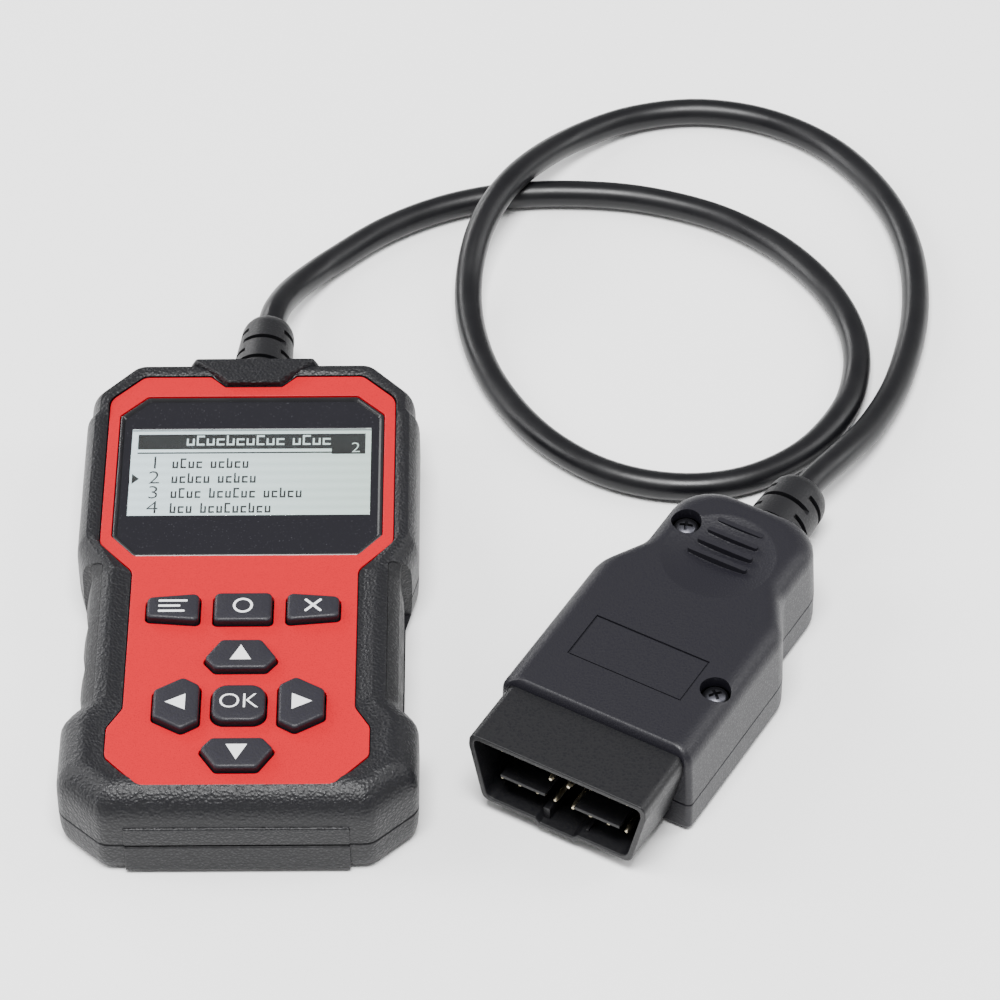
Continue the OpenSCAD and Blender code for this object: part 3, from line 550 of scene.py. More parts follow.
def plate_ring(d):
    """The face plate's outline moved inwards."""
    head, waist, foot = HALF_W - HEAD_FRAME, HALF_W - WAIST_CUT - WAIST_FRAME, FOOT_W - WAIST_FRAME
    half = [(head - 7, HALF_L - 4.7), (head, HALF_L - 11.8), (head, HALF_L - HEAD_L + 6.2),
            (waist, HALF_L - HEAD_L - 1.6), (waist, FOOT_L - 1 - HALF_L), (foot, FOOT_L - 6.2 - HALF_L),
            (foot, 12.2 - HALF_L), (foot - 7, 4.6 - HALF_L)]
    radii = [2.5, 4, 2.5, 3, 2.5, 2.5, 2.5, 3]
    return rounded(inset(both_sides(half), d), radii + radii[::-1])


def window_ring(d):
    """The outline of the window's opening moved inwards."""
    near, far = low("screen_window")[1], high("screen_window")[1]
    middle, w, l = (near + far) / 2, high("screen_window")[0] + WINDOW_GAP, (far - near) / 2 + WINDOW_GAP
    half = [(w - 5.6, l), (w, l - 5.6), (w, 5.6 - l), (w - 4.8, -l)]
    return rounded(inset(moved(both_sides(half), 0, middle), d), 1.0)


def exit_bar(d):
    """The outline of the bar over the cable exit moved inwards."""
    half = [(13.4, HALF_L - 0.35), (13.4, HALF_L - 1.5), (8.6, HALF_L - 4.9), (5.8, HALF_L - 7.7)]
    return rounded(inset(both_sides(half), d), 0.5)


def gem(inner, middle, outer, middle_at, depth):
    """An outer key of the pad: half widths at its near edge, at its widest and at its far edge."""
    return both_sides([(outer, depth), (middle, middle_at), (inner, 0)])


PAD_Y, ROW_Y = 25.1 - HALF_L, 51.1 - HALF_L
RIGHT_KEY = [(-5.2, 3.75), (5.2, 2.75), (5.2, -2.75), (-5.2, -3.75)]
LEFT_KEY = [(-5.2, 2.75), (5.2, 3.75), (5.2, -3.75), (-5.2, -2.75)]
# Each key's outline and corner radius
KEYS = {
    "key_left_function": (moved(LEFT_KEY, -14, ROW_Y), 1.1),
    "key_centre_function": (moved(oblong(5.75, 3.85), 0, ROW_Y), 1.1),
    "key_right_function": (moved(RIGHT_KEY, 14, ROW_Y), 1.1),
    "key_up": (moved(gem(5, 7.2, 4, 2.8, 7.8), 0, PAD_Y + 9.2), 1.1),
    "key_down": (moved(turned(gem(5, 7.2, 4, 2.8, 7.8), 180), 0, PAD_Y - 9.2), 1.1),
    "key_left": (moved(turned(gem(4.8, 6.9, 3.5, 3.3, 9), 90), -7.8, PAD_Y), 1.2),
    "key_right": (moved(turned(gem(4.8, 6.9, 3.5, 3.3, 9), -90), 7.8, PAD_Y), 1.2),
    "key_ok": (moved(oblong(5.25, 4.8), 0, PAD_Y), 2.9),
}


def key_ring(name, d):
    """A key's outline moved inwards."""
    outline, radius = KEYS[name]
    return rounded(inset(outline, d), radius)


GRIP_Y = (FOOT_L + 2.2 - HALF_L, HALF_L - HEAD_L - 1.2)


def grip_plan(d):
    """The plan of the right grip moved inwards."""
    x, far, (y0, y1) = HALF_W - 6, HALF_W + 2, GRIP_Y
    return rounded(inset([(x, y1 + 1.6), (far, y1 + 5.3), (far, y0 - 5.3), (x, y0 - 1.6)], d), 1.2)


def mirrored(obj):
    """A mesh flipped to the left side."""
    obj.data.transform(Matrix.Scale(-1, 4, Vector((1, 0, 0))))
    obj.data.flip_normals()
    return obj


def sleeve(name, length, r0, r1):
    """A strain relief along +Z with a rounded tip and staggered slots."""
    obj = lathe(name, [(r0 - 0.4, 0), (r0, 0.4), (r1 + 1.35, length - 3), (r1 + 1.1, length - 1.9),
                       (r1 + 0.55, length - 0.8), (r1 - 0.3, length)])
    for i in range(int((length - 3) // 3.3)):
        z = length - 5.6 - i * 3.3
        for s in (0, 180):
            slot = box("slot", 3.8, 14, -10, 10, z, z + 1.15)
            cut(obj, place(slot, turn=spin(90 * (i % 2) + s)))
    return round_edges(obj, 0.3, 3, 40)


# ---------------------------------------------------------------- places of the plug
PLUG_AT, PLUG_TURN = (62.0, -54.4), -30.7
# Front and back of the plug's housing, behind its mouth
HOUSING = (15.0, 84.0)
# Places of the plug's screws, how far each head is turned, and the height that the heads sit on
PLUG_SCREWS = ((-10.5, 71.0, 20), (17.0, 33.0, 50))
SCREW_SEAT = PLUG_TOP - 3.3


def in_plug(obj):
    """Takes a mesh from the plug's own frame to where the plug lies."""
    return place(obj, (*PLUG_AT, 0), spin(PLUG_TURN))


def plug_point(x, y, z):
    """A point of the plug's own frame where the plug lies."""
    (a, b), = turned([(x, y)], PLUG_TURN)
    return (a + PLUG_AT[0], b + PLUG_AT[1], z)


def plug_ring(side, front):
    """The plug's outline, moved inwards at the sides and the back, and at the front."""
    neck, body, back = 16.2 - side, 21.7 - side, HOUSING[1]
    half = [(neck, back - side), (neck, back - 21), (body, back - 30.5), (body, HOUSING[0] + front)]
    return rounded(both_sides(half), [9, 7, 9, 1.2, 1.2, 9, 7, 9])


# The cable's route, the same points as the cable node's
ROUTE = [
    (2, 84.7, 8), (3, 90.7, 7.6), (4.8, 96.4, 6.4), (7.4, 101.8, 5), (10.8, 107, 3.8), (15, 112, 3.1),
    (26, 122, 3), (38.5, 129.2, 3), (52, 133.2, 3), (66.5, 134.2, 3), (83, 132.4, 3), (99, 126.6, 3),
    (111.3, 117.8, 3), (120, 107.6, 3), (125.6, 97, 3), (128.4, 86, 3), (128.2, 75, 3), (124.8, 63.4, 3),
    (116, 51, 3), (103, 42.8, 3), (88, 41, 3), (73, 45.6, 3), (60, 56.6, 3), (50.6, 72, 3),
    (45.8, 88, 3.2), (44.8, 102, 5), (47, 115, 8.2), (51.8, 126.8, 9.4), (58.6, 138.4, 8),
    (68.6, 150.6, 5), (82, 159.6, 3.2), (98, 162.2, 3), (114, 158, 3), (128, 147.4, 3), (138, 131, 3),
    (142.4, 113, 3), (142, 93, 3), (137.4, 73.4, 3.2), (130.8, 58.4, 4.2), (124, 47.6, 6.2)]


def smooth_route(points, steps=6):
    """A smooth curve through every point."""
    p, out = [Vector(q) for q in points], []
    for i in range(len(p) - 1):
        a, b, c, d = p[max(i - 1, 0)], p[i], p[i + 1], p[min(i + 2, len(p) - 1)]
        for k in range(steps):
            t = k / steps
            out.append(0.5 * (2 * b + (c - a) * t + (2 * a - 5 * b + 4 * c - d) * t * t
                              + (3 * b - a - 3 * c + d) * t ** 3))
    return out + [p[-1]]


# ---------------------------------------------------------------- operators
class READER_OT_stage(bpy.types.Operator):
    """Make the camera, the floor and the soft lights"""

    bl_idname = "reader.stage"
    bl_label = "Camera, floor and lights"

    def execute(self, context):
        scene = context.scene
        camera = bpy.data.objects.new("camera", bpy.data.cameras.new("camera"))
        camera.data.lens, camera.data.sensor_width = 171.04, 36
        camera.data.clip_start, camera.data.clip_end = 0.05, 20
        tilt, roll = math.radians(45), math.radians(-0.32)
        right, up = Vector((1, 0, 0)), Vector((0, math.sin(tilt), math.cos(tilt)))
        back = Vector((0, -math.cos(tilt), math.sin(tilt)))
        turned_right = right * math.cos(roll) + up * math.sin(roll)
        turned_up = up * math.cos(roll) - right * math.sin(roll)
        camera.matrix_world = Matrix.Translation(Vector((0.05143, 0.0403, 0)) + back) @ Matrix(
            (turned_right, turned_up, back)).transposed().to_4x4()
        scene.collection.objects.link(camera)
        scene.camera = camera

        floor = box("floor", -3000, 3000, -3000, 3000, -4, 0)
        paper, tree, shader, where = surface(
            "paper_backdrop_white", {"Base Color": linear("#F4F4F4"), "Roughness": 0.85})
        # the paper's tooth
        tooth = add(tree, "TexNoise", {"Vector": where, "Scale": per_mm(1.5), "Detail": 3.0})
        bump = add(tree, "Bump", {"Height": tooth.outputs["Fac"], "Strength": 0.2, "Distance": 0.02 * MM})
        feed(tree, shader, bump=bump)
        floor.data.materials.append(paper)

        world = bpy.data.worlds.new("studio")
        world.use_nodes = True
        world.node_tree.nodes["Background"].inputs["Color"].default_value = (1, 1, 1, 1)
        world.node_tree.nodes["Background"].inputs["Strength"].default_value = 0.5
        scene.world = world
        # a long soft box behind, one on each side, and the main one overhead, a little to the front
        for name, at, size, energy in (
                ("light_back", (-0.9, 1.2, 0.55), (0.8, 0.35), 12),
                ("light_left", (-1.2, 0.1, 0.7), (0.5, 1.2), 16),
                ("light_right", (1.2, 0.3, 0.8), (0.5, 1.2), 10),
                ("light_front", (0.0, -0.5, 2.05), (1.0, 0.7), 100)):
            lamp = bpy.data.lights.new(name, "AREA")
            lamp.shape, lamp.size, lamp.size_y, lamp.energy = "RECTANGLE", size[0], size[1], energy
            obj = bpy.data.objects.new(name, lamp)
            obj.location = at
            obj.rotation_euler = (Vector((0.05, 0.04, 0)) - Vector(at)).to_track_quat("-Z", "Y").to_euler()
            scene.collection.objects.link(obj)
        return {"FINISHED"}


class READER_OT_cable(bpy.types.Operator):
    """Lay the cable along its route"""

    bl_idname = "reader.cable"
    bl_label = "Cable"

    def execute(self, context):
        line = smooth_route(ROUTE + [plug_point(0, 107.4, PLUG_SPLIT), plug_point(0, 103.2, PLUG_SPLIT)])
        curve = bpy.data.curves.new("cable_jacket", "CURVE")
        curve.dimensions, curve.fill_mode, curve.use_fill_caps = "3D", "FULL", True
        curve.bevel_depth, curve.bevel_resolution = settings().cable_diameter / 2, 7
        spline = curve.splines.new("POLY")
        spline.points.add(len(line) - 1)
        for point, at in zip(spline.points, line):
            point.co = (*(at * MM), 1)
        spline.use_smooth = True
        cable = bpy.data.objects.new("cable_jacket", curve)
        context.scene.collection.objects.link(cable)
        curve.materials.append(materials()["cable"])
        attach(cable, "root")
        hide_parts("cable")
        return {"FINISHED"}


class READER_OT_reliefs(bpy.types.Operator):
    """Make the two slotted strain reliefs"""

    bl_idname = "reader.reliefs"
    bl_label = "Strain reliefs"

    def execute(self, context):
        along_y = spin(-90, "X")
        look = materials()["relief"]
        first = place(sleeve("handset_relief", 22.6, 6.8, 4.3), turn=along_y)
        place(first, (0, HALF_L + 0.25, SPLIT), spin(-5))
        piece(first, look, stands_for=["handset_strain_relief"])
        second = place(sleeve("plug_relief", 19.0, 7.0, 5.0), (0, HOUSING[1] + 0.2, PLUG_SPLIT), along_y)
        piece(in_plug(second), look, stands_for=["plug_strain_relief"])
        return {"FINISHED"}


class READER_OT_plug_shells(bpy.types.Operator):
    """Make the plug's two shells with their dish, ribs, label recess and screw wells"""

    bl_idname = "reader.plug_shells"
    bl_label = "Plug shells"

    def execute(self, context):
        edge, look = settings().edge_round / MM, materials()["plug"]
        levels = [(PLUG_SPLIT, plug_ring(0.25, 0.25)), (PLUG_SPLIT + 0.25, plug_ring(0, 0)),
                  (PLUG_TOP - 4.1, plug_ring(0.4, 0))]
        for k in range(11):
            t = math.radians(9 * k)
            drawn = 1 - math.cos(t)
            levels.append((PLUG_TOP - 4 + 4 * math.sin(t), plug_ring(0.4 + 4.2 * drawn, 1.6 * drawn)))
        top = loft("plug_top", levels)
        bowl = [(max(r / 2, 0.02), r * r / 360 - 1.6) for r in range(25)] + [(12.2, 4)]
        cut(top, lathe("dish", bowl, (0, 65.5, PLUG_TOP), steps=96))
        ribs = []
        for i in range(4):
            w, y = 6.7 - 0.5 * i, 64.25 + i * 3.33
            base, ridge = [rounded(moved(oblong(w, half), 0, y + 0.575), 0.4, 3) for half in (0.575, 0.525)]
            ribs.append(loft("rib", [(PLUG_TOP - 2.2, base), (PLUG_TOP - 0.15, ridge)]))
        weld_on(top, *ribs)
        label = (-13, 12.6, HOUSING[0] + 11.8, HOUSING[0] + 23.8)
        cut(top, box("label", *label, PLUG_TOP - 0.45, PLUG_TOP + 2))
        weld_on(top, box("label", label[0] + 0.35, label[1] - 0.35, label[2] + 0.35, label[3] - 0.35,
                         PLUG_TOP - 1, PLUG_TOP - 0.14))
        for x, y, _ in PLUG_SCREWS:
            cut(top, lathe("well", [(3.1, SCREW_SEAT), (3.15, PLUG_TOP + 3)], (x, y, 0)))
        cut(top, self.mouth(), self.inside(PLUG_SPLIT - 1, PLUG_TOP - 2.5))
        piece(in_plug(round_edges(top, edge, 2)), look, stands_for=["plug_top_shell"])

        levels = [(0, 1.4, 1.2), (0.12, 0.9, 0.75), (0.45, 0.45, 0.35), (1.0, 0.12, 0.1), (1.5, 0, 0),
                  (PLUG_SPLIT - 0.25, 0, 0), (PLUG_SPLIT, 0.25, 0.25)]
        base = loft("plug_base", [(z, plug_ring(side, front)) for z, side, front in levels])
        cut(base, self.mouth(), self.inside(2, PLUG_SPLIT + 1))
        base = in_plug(round_edges(base, edge * 0.6, 2))
        piece(base, look, stands_for=["plug_bottom_shell"])
        return {"FINISHED"}

    def mouth(self):
        """The opening that the connector's shroud fills."""
        return skin("mouth", [[(x, y, z) for x, z in shroud_section(-0.05)] for y in (10, HOUSING[0] + 3)])

    def inside(self, z0, z1):
        """The hollow of a shell."""
        return prism("inside", plug_ring(2, 2), z0, z1)


def shroud_section(d):
    """The shroud's outline from the front: wide at the top, with a key bump at the bottom."""
    half = [(19.6, 20.4), (19.8, 17), (16.7, 3), (5.2, 3), (4, 2)]
    radii = [1.8, 3, 2, 0.6, 0.6]
    return rounded(inset(both_sides(half), d), radii + radii[::-1])


class READER_OT_connector(bpy.types.Operator):
    """Make the sixteen-way connector: shroud, tongue blades, ribs and pins"""

    bl_idname = "reader.connector"
    bl_label = "Connector and pins"

    def execute(self, context):
        looks = materials()
        shroud = skin("connector_shroud", [[(x, y, z) for x, z in shroud_section(0)] for y in (0, 19)])
        cut(shroud, skin("hollow", [[(x, y, z) for x, z in shroud_section(1.2)] for y in (-1, 13)]))
        round_edges(shroud, 0.3, 3)
        blades = []
        for x0, x1 in ((-13.4, -3.3), (3.3, 13.4)):
            blades.append(round_edges(box("blade", x0, x1, 1.4, 14, 9.8, 10.6), 0.15, 2))
        blades.append(round_edges(box("floor_rib", -3.9, -2.4, 1.8, 14, 2.8, 6), 0.2, 2))
        blades.append(round_edges(box("floor_rib", 5.7, 6.3, 1.8, 14, 2.8, 5), 0.15, 2))
        body = join("connector_body", [shroud] + blades)
        piece(in_plug(body), looks["nylon"], stands_for=["plug_connector"])

        pins = []
        for z in (7.7, 15.7):
            for i in range(8):
                x = (i - 3.5) * 4
                tip = 1.2 if z > 10 and abs(x) < 3 else 3.0
                rings = [(0.2, tip), (0.32, tip + 0.05), (0.5, tip + 0.5), (0.6, tip + 1.1), (0.6, 24.4)]
                round_pin = [(math.cos(math.pi * k / 10), math.sin(math.pi * k / 10)) for k in range(20)]
                pins.append(skin("pin", [[(x + r * c, y, z + r * s) for c, s in round_pin]
                                         for r, y in rings]))
        pins = in_plug(join("connector_pins", pins))
        piece(pins, looks["contact"], stands_for=["plug_pins"])
        return {"FINISHED"}


class READER_OT_plug_screws(bpy.types.Operator):
    """Make the plug's two cross-recess pan-head screws"""

    bl_idname = "reader.plug_screws"
    bl_label = "Plug screws"

    def execute(self, context):
        screws, seat = [], SCREW_SEAT
        for x, y, turn in PLUG_SCREWS:
            side = [(1.1, 2.5), (1.1, seat), (2.6, seat), (2.7, seat + 0.6), (2.5, seat + 1.2),
                    (1.9, seat + 1.65), (1.0, seat + 1.9), (0.02, seat + 2.0)]
            head = lathe("screw", side, steps=48)
            for a in (0, 90):
                slot = loft("slot", [(seat + 0.7, oblong(0.9, 0.22)), (seat + 2.4, oblong(1.65, 0.38))])
                cut(head, place(slot, turn=spin(a + turn)))
            screws.append(place(head, (x, y, 0)))
        piece(in_plug(join("plug_pan_screws", screws)), materials()["black_zinc"],
              stands_for=["plug_screws"])
        return {"FINISHED"}


class READER_OT_cord(bpy.types.Operator):
    """A step that does nothing"""

    bl_idname = "reader.cord"
    bl_label = "Cable facts"

    def execute(self, context):
        return {"FINISHED"}


class READER_OT_case(bpy.types.Operator):
    """Make the case's front and back shells"""

    bl_idname = "reader.case"
    bl_label = "Case shells"

    def execute(self, context):
        edge, looks = settings().edge_round / MM, materials()
        front = loft("case_frame", [(z, front_ring(foot, head)) for z, foot, head in FRONT_PROFILE])
        rise = high("front_shell")[2]
        # its ends slope down to the frame
        levels = [(SPLIT + 0.3, exit_bar(0)), (rise - 1.9, exit_bar(0)), (rise - 0.35, exit_bar(0.12)),
                  (rise, exit_bar(0.42))]
        bar = loft("bar", [(z, [(x * (1 - 0.07 * max(z - rise + 1.9, 0) / 1.9), y) for x, y in ring])
                           for z, ring in levels])
        weld_on(front, bar)
        recess = prism("recess", plate_ring(0), DECK, DECK + 10)
        cut(recess, prism("keep", exit_bar(-0.02), DECK - 1, DECK + 12))
        cut(front, recess, prism("space", case_ring(2, 3.5), SPLIT - 1, 15),
            prism("space", case_ring(3.5, 3.5), 14.9, DECK - 1.8))
        cut(front, join("key_holes", [prism("hole", key_ring(k, -0.3), DECK - 3, DECK + 1) for k in KEYS]))
        (x0, y0, _), (x1, y1, _) = low("lcd_frame"), high("lcd_frame")
        cut(front, box("lcd_hole", x0 - 0.2, x1 + 0.2, y0 - 0.2, y1 + 0.2, DECK - 3, DECK + 1))
        for side in (0, 1):
            pocket = prism("pocket", grip_plan(-0.02), SPLIT - 1, CASE_TOP + 2)
            cut(front, mirrored(pocket) if side else pocket)
        cut(front, self.cable_hole())
        front = round_edges(front, edge, 2)
        pad = round_edges(box("pad", -22, 22, -HALF_L - 0.35, -HALF_L + 1.5, SPLIT + 0.2, 13), 0.4, 3)
        front = join("case_frame_front", [front, pad])
        piece(front, looks["case"], stands_for=["front_shell"])

        levels = [(0, 2.2), (0.15, 1.75), (0.45, 1.3), (1.0, 0.85), (1.8, 0.5), (3, 0.25), (5, 0.08),
                  (SPLIT - 0.3, 0), (SPLIT, 0.3)]
        back = loft("case_back", [(z, case_ring(d)) for z, d in levels])
        x, y = high("rating_label")[0] + 0.4, (low("rating_label")[1] - 0.4, high("rating_label")[1] + 0.4)
        cut(back, box("label", -x, x, y[0], y[1], -1, 0.4), prism("space", case_ring(2, 3.5), 2, SPLIT + 1))
        for sx in (-1, 1):
            for at in ((HALF_W - 9.3, HALF_L - 12), (HALF_W - 8.5, 12.5 - HALF_L)):
                cut(back, lathe("well", [(2.5, -1), (2.45, 4)], (sx * at[0], at[1], 0), steps=40))
            pocket = prism("pocket", grip_plan(-0.02), 3, SPLIT + 1)
            cut(back, mirrored(pocket) if sx < 0 else pocket)
        cut(back, self.cable_hole())
        back = round_edges(back, edge * 0.7, 2)
        pad = round_edges(box("pad", -22, 22, -HALF_L - 0.35, -HALF_L + 1.5, 0.9, SPLIT - 0.2), 0.4, 3)
        back = join("case_back_cover", [back, pad])
        piece(back, looks["back"], stands_for=["back_shell"])
        return {"FINISHED"}

    def cable_hole(self):
        return lathe("cable_hole", [(4.65, 0), (4.65, 20)], (0, HALF_L - 10, SPLIT),
                     spin(-90, "X"))


class READER_OT_grips(bpy.types.Operator):
    """Make the two scalloped side grips"""

    bl_idname = "reader.grips"
    bl_label = "Side grips"

    def execute(self, context):
        look = materials()["grip"]
        y0, y1 = GRIP_Y
        for side, name in ((0, "right_grip"), (1, "left_grip")):
            levels = [(3, 0.45, 0.45), (3.5, 0.15, 0.15)] + FRONT_PROFILE[2:]
            grip = loft("pad_" + name, [(z, front_ring(foot + 0.35, head + 0.35))
                                        for z, foot, head in levels])
            combine(grip, [prism("plan", grip_plan(0.05), 2, CASE_TOP + 3)], "INTERSECT")
            for i in range(4):
                wave = lathe("wave", [(12.2, 0), (12.2, CASE_TOP + 4)],
                             (HALF_W + 8.5, y0 + i * (y1 - y0) / 3, 0), steps=160)
                cut(grip, wave)
            round_edges(grip, 0.5, 3, 30)
            if side:
                mirrored(grip)
            piece(grip, look, stands_for=[name])
        return {"FINISHED"}


class READER_OT_plate(bpy.types.Operator):
    """Make the red face plate"""

    bl_idname = "reader.plate"
    bl_label = "Face plate"

    def execute(self, context):
        plate = prism("plate_red", plate_ring(0.25), DECK + 0.02, PLATE_TOP)
        cut(plate, prism("notch", exit_bar(-0.3), DECK - 1, PLATE_TOP + 1),
            prism("window", window_ring(-0.05), DECK - 1, PLATE_TOP + 1))
        holes = [prism("hole", key_ring(k, -0.35), DECK - 1, PLATE_TOP + 1) for k in KEYS]
        cut(plate, join("key_holes", holes))
        piece(round_edges(plate, 0.3, 3), materials()["plate"], stands_for=["face_plate"])
        return {"FINISHED"}


class READER_OT_display(bpy.types.Operator):
    """Make the window's border and pane, and the picture behind it"""

    bl_idname = "reader.display"
    bl_label = "Window and display"

    def execute(self, context):
        looks = materials()
        x, (y0, y1) = high("lcd_frame")[0] - 1.3, (low("lcd_frame")[1] + 1.8, high("lcd_frame")[1] - 1.4)
        top = DECK + 0.9
        rim = loft("window_rim", [(DECK + 0.02, window_ring(0.1)), (top - 0.05, window_ring(0.1)),
                                  (top + 0.12, window_ring(0.3)), (top + 0.12, window_ring(0.62))])
        cut(rim, loft("hole", [(DECK - 1, window_ring(1.1)), (top - 0.45, window_ring(1.1)),
                               (top + 0.13, window_ring(0.62)), (top + 2, window_ring(0.62))]))
        border = prism("window_border", window_ring(1.0), DECK + 0.02, top - 0.42)
        cut(border, box("picture", -x, x, y0, y1, DECK - 1, top + 1))
        piece(rim, looks["rim"], stands_for=["screen_window"])
        piece(round_edges(border, 0.06, 1), looks["border"], stands_for=["screen_window"])
        pane = box("window_pane", -x + 0.02, x - 0.02, y0 + 0.02, y1 - 0.02, DECK + 0.1, top - 0.43)
        piece(round_edges(pane, 0.05, 1), looks["pane"], stands_for=["screen_window"])

        glass = box("lcd_picture", -x - 0.9, x + 0.9, y0 - 1.2, y1 + 0.8, LCD_TOP - 1.6, LCD_TOP - 0.42)
        piece(round_edges(glass, 0.1, 1), looks["display"], stands_for=["lcd_glass"])
        self.segments(looks["ink"], x, y0, y1)
        return {"FINISHED"}

    def segments(self, look, x, y0, y1):
        """The dark parts of the picture: a title bar, four numbered rows of words, and a marker."""
        z0, z1 = LCD_TOP - 0.42, LCD_TOP - 0.39
        parts = [box("title", -x + 1.2, x - 1.2, y1 - 5.0, y1 - 0.6, z0, z1),
                 box("rule", -x + 1.2, x - 1.2, y1 - 6.3, y1 - 5.9, z0, z1),
                 box("rule", x - 8.2, x - 1.2, y1 - 6.6, y1 - 4.9, z0, z1)]
        rows = [(4, 5), (5, 5), (4, 6, 5), (3, 9)]
        row_y = [y1 - 10.6 - 4.35 * i for i in range(4)]
        for y, words in zip(row_y, rows):
            parts += self.words(words, -x + 8.6, y, z0, z1)
        y = row_y[1] + 1.3
        parts.append(prism("marker", [(-x + 0.4, y + 1.5), (-x + 1.9, y), (-x + 0.4, y - 1.5)], z0, z1))
        for i, y in enumerate(row_y):
            parts.append(lettering(str(i + 1), (-x + 5.0, y + 1.5), 3.8, z0, z1))
        piece(join("lcd_segments", parts), look)
        light = self.words((10, 4), -13.5, y1 - 3.9, z1, z1 + 0.02, 1.35)
        light.append(lettering("2", (x - 3.2, y1 - 4.9), 3.0, z1, z1 + 0.02))
        piece(join("lcd_title_words", light), materials()["display"])

    def words(self, counts, x, y, z0, z1, wide=1.0):
        """Stand-ins for words: groups of small strokes, each a stem, a foot, and a top or a second stem."""
        out, stem, foot, short, tall, gap, space = [], 0.38, 0.48, 2.0, 2.9, 0.45, 1.3
        for count in counts:
            for i in range(count):
                w, h = 1.2 * wide, tall if (i * 5 + count) % 3 == 0 else short
                strokes = [(x, x + stem, y, y + h), (x + stem, x + w, y, y + foot)]
                if i % 2:
                    strokes.append((x + stem, x + w, y + h - foot, y + h))
                else:
                    strokes.append((x + w - stem, x + w, y + foot, y + short))
                out += [box("stroke", *stroke, z0, z1) for stroke in strokes]
                x += w + gap
            x += space
        return out


def lettering(text, at, size, z0, z1):
    """A number or key word as a thin solid, from the built-in font, centred at a point."""
    curve = bpy.data.curves.new("letters", "FONT")
    curve.body, curve.size, curve.align_x, curve.align_y = text, size * MM * 1.4, "CENTER", "CENTER"
    curve.resolution_u, curve.extrude = 4, (z1 - z0) / 2 * MM
    # strokes a little thinner than the font's own
    curve.offset = -0.06 * MM
    holder = bpy.data.objects.new("letters", curve)
    bpy.context.scene.collection.objects.link(holder)
    graph = bpy.context.evaluated_depsgraph_get()
    data = bpy.data.meshes.new_from_object(holder.evaluated_get(graph))
    bpy.data.objects.remove(holder)
    obj = bpy.data.objects.new("letters", data)
    bpy.context.scene.collection.objects.link(obj)
    return place(obj, (at[0], at[1], (z0 + z1) / 2))


class READER_OT_keys(bpy.types.Operator):
    """Make the eight keys with their legends"""

    bl_idname = "reader.keys"
    bl_label = "Keys"

    def execute(self, context):
        looks, r = materials(), settings().key_round / MM
        foot = low("key_ok")[2]
        for name in KEYS:
            lip = key_ring(name, -0.6)
            flange = [(foot, lip), (foot + 1, lip), (foot + 1, key_ring(name, 0))]
            crown = [(KEY_TOP - r + r * math.sin(t), key_ring(name, r * (1 - math.cos(t))))
                     for t in [math.radians(10 * k) for k in range(10)]]
            crown += [(KEY_TOP + 0.08, key_ring(name, r + 0.9)), (KEY_TOP + 0.1, key_ring(name, r + 1.8))]
            key = loft(name.replace("key_", "cap_"), flange + crown)
            piece(key, looks["key"], body=name, stands_for=[name])
            legend = join(name.replace("key_", "legend_"), self.legend(name))
            piece(legend, looks["legend"], body=name)
        return {"FINISHED"}

    def legend(self, name):
        z0, z1 = KEY_TOP + 0.02, KEY_TOP + 0.13
        middle = [(low(name)[i] + high(name)[i]) / 2 for i in (0, 1)]
        arrow = [(0, 2.15), (2.1, -1.85), (-2.1, -1.85)]
        turns = {"key_up": 0, "key_down": 180, "key_left": 90, "key_right": -90}
        if name in turns:
            return [prism("arrow", moved(turned(arrow, turns[name]), *middle), z0, z1)]
        if name == "key_ok":
            return [lettering("OK", middle, 3.9, z0, z1)]
        if name == "key_left_function":
            # a list
            lines = [[(-2.9, y + 0.27), (w, y + 0.27), (w, y - 0.27), (-2.9, y - 0.27)]
                     for y, w in ((1.4, 2.9), (0, 1.5), (-1.4, 2.4))]
            return [prism("line", rounded(moved(line, *middle), 0.2, 2), z0, z1) for line in lines]
        if name == "key_centre_function":
            # a ring
            ring = lathe("ring", [(2.0, z0), (2.0, z1)], (*middle, 0), steps=40)
            return [cut(ring, lathe("ring", [(1.5, z0 - 1), (1.5, z1 + 1)], (*middle, 0), steps=40))]
        # a cross
        bar = rounded(oblong(0.28, 2.3), 0.2, 2)
        cross = [prism("bar", moved(turned(bar, a), *middle), z0, z1) for a in (45, -45)]
        return [weld_on(cross[0], cross[1])]


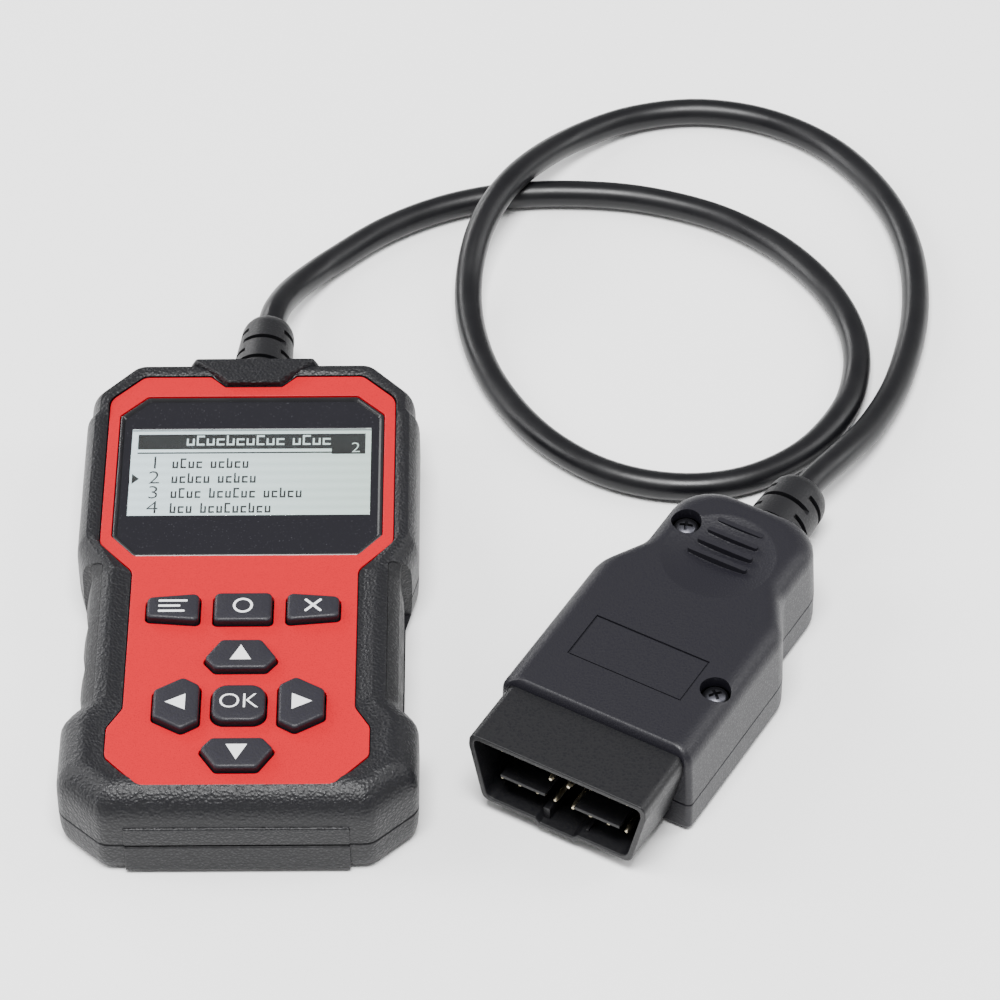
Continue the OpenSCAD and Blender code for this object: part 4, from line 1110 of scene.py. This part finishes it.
class READER_OT_inner(bpy.types.Operator):
    """Give the model's inner parts, screws and label their materials"""

    bl_idname = "reader.inner"
    bl_label = "Inner parts"

    def execute(self, context):
        looks = materials()
        by_slot = {
            "window_clear": "pane", "lcd_metal": "zinc", "lcd_glass": "display", "backlight_white": "guide",
            "ribbon_amber": "film", "connector_white": "natural", "board_green": "board",
            "chip_black": "epoxy", "capacitor_can": "can", "crystal_can": "zinc", "wire_red": "wire",
            "cable_pvc": "cable", "connector_black": "nylon", "screw_zinc": "zinc",
            "screw_black": "black_zinc", "mat_rubber": "silicone", "dome_metal": "zinc",
            "label_white": "label", "shell_black": "case", "plate_red": "plate", "key_charcoal": "key",
            "grip_rubber": "grip", "relief_rubber": "relief", "plug_black": "plug",
            "pin_gold": "contact"}
        slots = {part["node"]: part["material_slot"] for part in frame["record"]["subparts"]}
        for node, obj in frame["nodes"].items():
            if not obj.material_slots:
                raise RuntimeError(node + " has no material slot")
            for slot in obj.material_slots:
                slot.material = looks[by_slot[slots[node]]]
        return {"FINISHED"}


class READER_PT_panel(bpy.types.Panel):
    """Sizes and build steps"""

    bl_idname = "READER_PT_panel"
    bl_label = "Code reader"
    bl_space_type = "VIEW_3D"
    bl_region_type = "UI"
    bl_category = "Code reader"

    def draw(self, context):
        for name in ReaderSettings.__annotations__:
            self.layout.prop(settings(), name)
        for step in STEPS:
            self.layout.operator(step.bl_idname)


# The operators in the order that they run
STEPS = [READER_OT_stage, READER_OT_cable, READER_OT_reliefs, READER_OT_plug_shells, READER_OT_connector,
         READER_OT_plug_screws, READER_OT_cord, READER_OT_case, READER_OT_grips, READER_OT_plate,
         READER_OT_display, READER_OT_keys, READER_OT_inner]
CLASSES = [ReaderSettings, *STEPS, READER_PT_panel]


def register():
    for item in CLASSES:
        bpy.utils.register_class(item)
    bpy.types.Scene.code_reader = PointerProperty(type=ReaderSettings)


def unregister():
    del bpy.types.Scene.code_reader
    for item in reversed(CLASSES):
        bpy.utils.unregister_class(item)


def main():
    register()
    for step in STEPS:
        group, name = step.bl_idname.split(".")
        if getattr(getattr(bpy.ops, group), name)() != {"FINISHED"}:
            raise RuntimeError(step.bl_label + " was not built")


if __name__ == "__main__":
    main()
